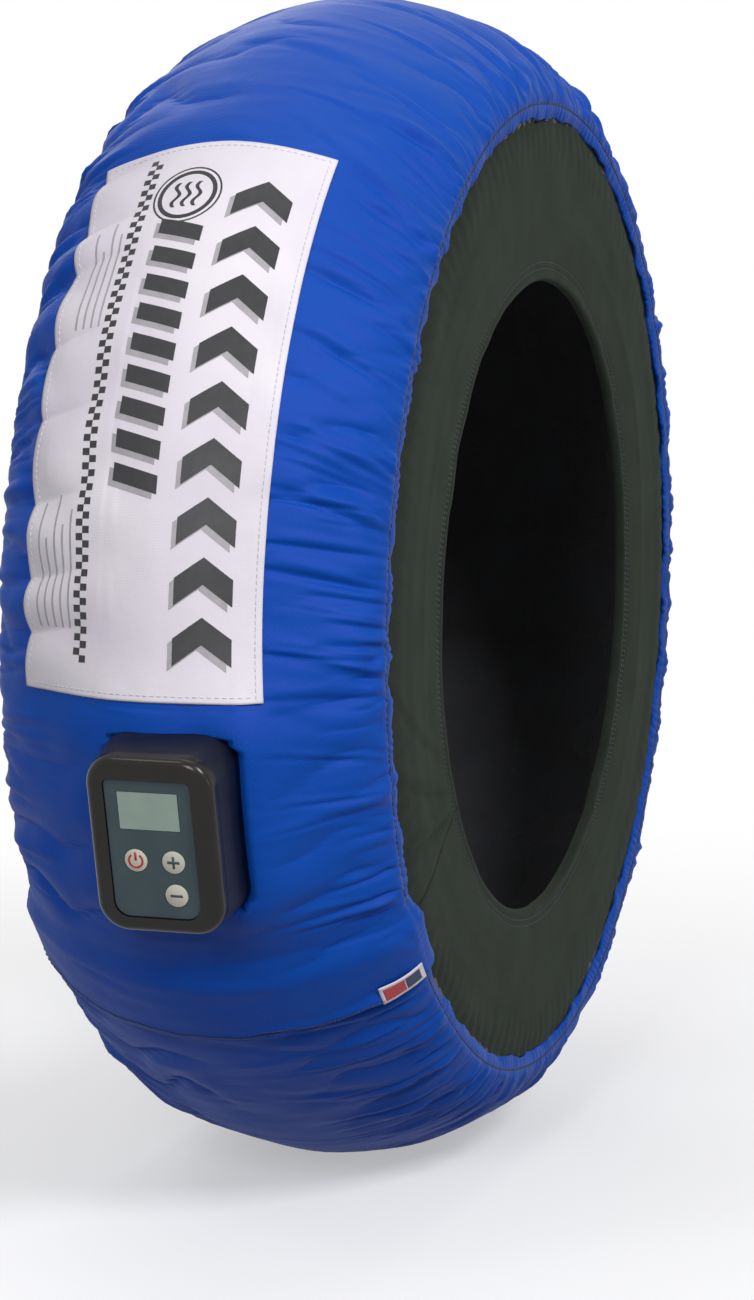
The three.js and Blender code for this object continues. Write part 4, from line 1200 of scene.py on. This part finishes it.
def make_front_case():
    edge = [
        at_height(
            case_outline(CASE_HEIGHT - CASE_EDGE * (1 - math.sin(t)), CASE_EDGE * (1 - math.cos(t))),
            CASE_HEIGHT - CASE_EDGE * (1 - math.sin(t)))
        for t in np.radians(np.linspace(0, 90, 10))]
    foot = PARTING_HEIGHT + 0.06
    shell = loft("front_case_shell", [at_height(case_outline(foot), foot), *edge])
    chamber_foot = PARTING_HEIGHT - 1
    chamber = loft("chamber", [
        at_height(case_outline(chamber_foot, CASE_WALL), chamber_foot),
        at_height(case_outline(FACE_BOTTOM, CASE_WALL), FACE_BOTTOM)])
    recess_outline = rounded_outline(
        OVERLAY_HALF[0] + CLEARANCE, OVERLAY_HALF[1] + CLEARANCE, *OVERLAY_CORNERS, OVERLAY_CENTRE)
    recess = loft("recess", [at_height(recess_outline, FACE_TOP), at_height(recess_outline, CASE_HEIGHT + 1)])
    window = box_block("window", DISPLAY_HALF, DISPLAY_CENTRE, FACE_BOTTOM - 1, FACE_TOP + 1)
    holes = [
        post(f"hole_{name}", place, KEY_RADIUS + CLEARANCE, FACE_BOTTOM - 1, FACE_TOP + 1, 48)
        for name, place in KEY_PLACES.items()]
    shaped(shell, [chamber, recess, window, *holes], "DIFFERENCE")
    shaped(shell, [
        post(f"boss_{i}", place, BOSS_RADIUS, BOARD_TOP + CLEARANCE, FACE_BOTTOM + 0.5)
        for i, place in enumerate(bosses)], "UNION")
    shaped(shell, [
        post(f"bore_{i}", place, SCREW_HOLE, BOARD_TOP - 1, FACE_BOTTOM + CLEARANCE, 16)
        for i, place in enumerate(bosses)], "DIFFERENCE")
    return soften(shell, 0.25)


def make_rear_case():
    foot = case_outline(0)
    shell = loft("rear_case_shell", [
        at_height(foot, crown_under(foot, 0.2)), at_height(case_outline(6), 6),
        at_height(case_outline(PARTING_HEIGHT), PARTING_HEIGHT)])
    top = PARTING_HEIGHT + 1
    chamber = loft("chamber", [at_height(case_outline(z, CASE_WALL), z) for z in (FLOOR_TOP, top)])
    below = FLOOR_TOP - CASE_WALL
    inside = case_outline(0, CASE_WALL)
    underside = loft("underside", [at_height(inside, crown_under(inside, -6)), at_height(inside, below)])
    shaped(shell, [chamber, underside], "DIFFERENCE")
    boss_foot = crown_under(np.array(bosses), 0.5)
    shaped(shell, [
        post(f"boss_{i}", place, BOSS_RADIUS, boss_foot[i], BOARD_BOTTOM - CLEARANCE)
        for i, place in enumerate(bosses)], "UNION")
    slot_half = (GROMMET_HALF[0] + CLEARANCE, GROMMET_HALF[1] + CLEARANCE)
    slot_outline = rounded_outline(*slot_half, GROMMET_HALF[1], centre=LEAD_PLACE)
    slot = loft("slot", [at_height(slot_outline, z) for z in (-8, FLOOR_TOP + 1)])
    inlet_half = (INLET_HALF[0] + CLEARANCE, 5)
    inlet_low = INLET_HEIGHT - INLET_HALF[1] - CLEARANCE
    inlet_high = INLET_HEIGHT + INLET_HALF[1] + CLEARANCE
    inlet = box_block("inlet", inlet_half, (0, -CASE_HALF_LENGTH), inlet_low, inlet_high)
    bores = [post(f"bore_{i}", place, SCREW_HOLE, -12, top, 16) for i, place in enumerate(bosses)]
    shaped(shell, [slot, inlet, *bores], "DIFFERENCE")
    return soften(shell, 0.25)


front = dress(make_front_case(), case_black)
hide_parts("front_case")
rear = dress(make_rear_case(), dark_plastic_painted_blue)
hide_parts("rear_case")


def make_overlay():
    outline = rounded_outline(*OVERLAY_HALF, *OVERLAY_CORNERS, OVERLAY_CENTRE)
    film = loft("overlay", [at_height(outline, OVERLAY_BOTTOM), at_height(outline, OVERLAY_TOP)])
    window_half = (DISPLAY_HALF[0] + CLEARANCE, DISPLAY_HALF[1] + CLEARANCE)
    window = box_block("window", window_half, DISPLAY_CENTRE, OVERLAY_BOTTOM - 1, OVERLAY_TOP + 1)
    holes = [
        post(f"hole_{name}", place, KEY_RADIUS + CLEARANCE, OVERLAY_BOTTOM - 1, OVERLAY_TOP + 1, 48)
        for name, place in KEY_PLACES.items()]
    return soften(shaped(film, [window, *holes], "DIFFERENCE"), 0.12)


overlay = dress(make_overlay(), overlay_film)
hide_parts("keypad_overlay")


def flat_ring(name, centre, inner, outer, low_z, high_z, start=0.0, end=360.0, steps=48):
    """A flat ring, or a stretch of one, as a closed body."""
    turn = np.radians(np.linspace(start, end, steps + 1))
    corners = ((inner, low_z), (outer, low_z), (outer, high_z), (inner, high_z))
    points = np.stack([
        np.stack([centre[0] + r * np.cos(turn), centre[1] + r * np.sin(turn), np.full(len(turn), z)], -1)
        for r, z in corners], 1)
    return add_swept(name, in_unit(points))


KEY_SIDES = 64
KEY_TOP = OVERLAY_TOP + KEY_PROUD
SYMBOL_FOOT = KEY_TOP - 0.1
SYMBOL_TOP = KEY_TOP + 0.06


def make_key(name, place):
    """A disc with a rounded rim on its flange and stem."""
    flange_top = FACE_BOTTOM - CLEARANCE
    levels = [
        (1.6, BOARD_TOP + 1.45), (1.6, flange_top - 0.9), (KEY_RADIUS + 1.2, flange_top - 0.8),
        (KEY_RADIUS + 1.2, flange_top), (KEY_RADIUS, flange_top), (KEY_RADIUS, KEY_TOP - 0.25),
        (KEY_RADIUS - 0.08, KEY_TOP - 0.1), (KEY_RADIUS - 0.25, KEY_TOP)]
    turn = 2 * np.pi * np.arange(KEY_SIDES) / KEY_SIDES
    loops = [
        np.stack([place[0] + r * np.cos(turn), place[1] + r * np.sin(turn), np.full(KEY_SIDES, z)], -1)
        for r, z in levels]
    return soften(loft(f"{name}_cap", loops), 0.05, 50)


def flat_stroke(name, centre, half, top, material, body):
    """A straight stroke of a symbol on a key."""
    dress(box_block(name, half, centre, SYMBOL_FOOT, top), material, body)


key_bodies = {"power_key": "power_button", "plus_key": "plus_button", "minus_key": "minus_button"}
for key, place in KEY_PLACES.items():
    cap = dress(make_key(key, place), key_white, key_bodies[key])
    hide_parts(key)
power = KEY_PLACES["power_key"]
power_ring = flat_ring("power_ring", power, 3.05, 4.2, SYMBOL_FOOT, SYMBOL_TOP, 125, 415)
dress(power_ring, symbol_red, "power_button")
power_middle = (power[0], power[1] + 2.4)
flat_stroke("power_stroke", power_middle, (0.66, 2.3), SYMBOL_TOP, symbol_red, "power_button")
STROKE = (3.3, 0.7)
for key in ("plus_key", "minus_key"):
    flat_stroke(f"{key}_level", KEY_PLACES[key], STROKE, SYMBOL_TOP, symbol_slate, key_bodies[key])
plus = KEY_PLACES["plus_key"]
flat_stroke("plus_key_upright", plus, STROKE[::-1], SYMBOL_TOP - 0.01, symbol_slate, "plus_button")


# Pieces that keep their form from the solids
carried = {
    "display_window": display_glass,
    "display_module": display_frame,
    "case_seal": rubber,
    "lead_grommet": rubber,
    "insulation_pad": wadding,
    "heater_mat": lining,
    "heater_element": copper,
    "near_hem_elastic": thread_black,
    "far_hem_elastic": thread_black,
    "hook_tape": thread_black,
    "loop_tape": thread_black,
    "backing_plate": steel,
    "temperature_probe": steel,
    "thermal_cutoff": steel,
    "circuit_board": plastic("board_green", (34, 92, 62), 0.5),
    "supply_module": dark_plastic_painted_blue,
    "power_relay": plastic("relay_blue", (58, 106, 154), 0.35),
    "terminal_block": plastic("terminal_green", (48, 126, 80), 0.45),
    "power_inlet": dark_plastic_painted_blue,
    "power_key_switch": dark_plastic_painted_blue,
    "plus_key_switch": dark_plastic_painted_blue,
    "minus_key_switch": dark_plastic_painted_blue,
}
carried.update({f"case_screw_{i}": steel for i in range(1, 5)})
lead_red = plastic("lead_red", (146, 44, 36), 0.55)
carried.update({name: lead_red for name in ("probe_lead", "heater_lead", "cutoff_lead")})
for name, material in carried.items():
    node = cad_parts[name]
    node.data.materials.clear()
    node.data.materials.append(material)


# Stage, light and camera
def background_share(tree):
    """1 for the rays that show the background: those from the camera, off gloss and through glass."""
    path = tree.nodes.new("ShaderNodeLightPath")
    total = path.outputs["Is Camera Ray"]
    for kind in ("Is Glossy Ray", "Is Transmission Ray"):
        either = tree.nodes.new("ShaderNodeMath")
        either.operation = "MAXIMUM"
        tree.links.new(total, either.inputs[0])
        tree.links.new(path.outputs[kind], either.inputs[1])
        total = either.outputs["Value"]
    return total


def make_floor():
    """A disc that takes the part's shadow, fades to white, and throws little light back."""
    low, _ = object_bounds()
    level = low.z - 0.0008
    radius = 9
    count = 96
    turn = 2 * np.pi * np.arange(count) / count
    ring = np.stack([radius * np.cos(turn), radius * np.sin(turn), np.full(count, level)], -1)
    floor = add_object("floor", ring, [tuple(range(count))], False)
    material = bpy.data.materials.new("floor")
    material.use_nodes = True
    nodes = material.node_tree.nodes
    shader = nodes["Principled BSDF"]
    shader.inputs["Base Color"].default_value = (0.62, 0.62, 0.64, 1)
    shader.inputs["Roughness"].default_value = 0.9
    shader.inputs["Emission Color"].default_value = (1, 1, 1, 1)
    shader.inputs["Emission Strength"].default_value = 0.42
    glow = nodes.new("ShaderNodeEmission")
    glow.inputs["Color"].default_value = (1, 1, 1, 1)
    dark = nodes.new("ShaderNodeBsdfDiffuse")
    dark.inputs["Color"].default_value = (0.2, 0.2, 0.21, 1)
    place = nodes.new("ShaderNodeTexCoord")
    length = nodes.new("ShaderNodeVectorMath")
    length.operation = "LENGTH"
    fade = nodes.new("ShaderNodeMapRange")
    fade.interpolation_type = "SMOOTHSTEP"
    fade.inputs["From Min"].default_value = 0.3
    fade.inputs["From Max"].default_value = 1.2
    faded, seen = nodes.new("ShaderNodeMixShader"), nodes.new("ShaderNodeMixShader")
    wire(material, place, "Object", length, "Vector")
    wire(material, length, "Value", fade, "Value")
    wire(material, fade, "Result", faded, "Fac")
    wire(material, shader, "BSDF", faded, 1)
    wire(material, glow, "Emission", faded, 2)
    material.node_tree.links.new(background_share(material.node_tree), seen.inputs["Fac"])
    wire(material, dark, "BSDF", seen, 1)
    wire(material, faded, "Shader", seen, 2)
    wire(material, seen, "Shader", nodes["Material Output"], "Surface")
    floor.data.materials.append(material)


def make_world():
    world = bpy.data.worlds.new("studio")
    world.use_nodes = True
    bpy.context.scene.world = world
    nodes = world.node_tree.nodes
    links = world.node_tree.links
    ambient = nodes["Background"]
    ambient.inputs["Color"].default_value = (1, 1, 1, 1)
    ambient.inputs["Strength"].default_value = 0.16
    white = nodes.new("ShaderNodeBackground")
    white.inputs["Color"].default_value = (1, 1, 1, 1)
    mix = nodes.new("ShaderNodeMixShader")
    links.new(background_share(world.node_tree), mix.inputs["Fac"])
    links.new(ambient.outputs["Background"], mix.inputs[1])
    links.new(white.outputs["Background"], mix.inputs[2])
    links.new(mix.outputs["Shader"], nodes["World Output"].inputs["Surface"])


def add_softbox(name, place, size, power, target=(0, 0, 0)):
    light = bpy.data.lights.new(name, "AREA")
    light.shape = "RECTANGLE"
    light.size, light.size_y = size
    light.energy = power
    obj = bpy.data.objects.new(name, light)
    obj.location = place
    obj.rotation_euler = (Vector(target) - Vector(place)).to_track_quat("-Z", "Y").to_euler()
    bpy.context.scene.collection.objects.link(obj)


def make_camera():
    turn, tilt = math.radians(CAMERA_AZIMUTH), math.radians(CAMERA_ELEVATION)
    back = Vector((math.sin(turn) * math.cos(tilt), -math.cos(turn) * math.cos(tilt), math.sin(tilt)))
    right = Vector((0, 0, 1)).cross(back).normalized()
    up = back.cross(right)
    distance = CAMERA_DISTANCE * MM
    per_pixel = distance / FOCAL_PIXELS
    across = (CENTRE_PIXEL[0] - AXLE_PIXEL[0]) * per_pixel
    down = (CENTRE_PIXEL[1] - AXLE_PIXEL[1]) * per_pixel
    aim = right * across - up * down
    data = bpy.data.cameras.new("camera")
    data.sensor_width = SENSOR
    data.lens = SENSOR * FOCAL_PIXELS / FRAME_HEIGHT
    camera = bpy.data.objects.new("camera", data)
    bpy.context.scene.collection.objects.link(camera)
    camera.location = back * distance
    camera.rotation_euler = (camera.location - aim).to_track_quat("Z", "Y").to_euler()
    bpy.context.scene.camera = camera


make_camera()
make_world()
add_softbox("key_light", (-1.6, -2.1, 1.9), (0.9, 0.9), 56)
add_softbox("front_light", (-3.0, -0.2, 1.2), (0.9, 0.9), 30)
add_softbox("top_light", (0.2, 0.1, 2.4), (1.2, 1.2), 9)
add_softbox("edge_light_top", (-1.35, 0.78, 1.85), (0.35, 0.35), 3)
add_softbox("edge_light_side", (-0.9, -2.4, 0.0), (0.16, 0.9), 3.2)
add_softbox("back_light", (2.4, 1.6, 1.4), (1.6, 1.6), 16)
bpy.context.scene.view_settings.view_transform = "Standard"

make_floor()
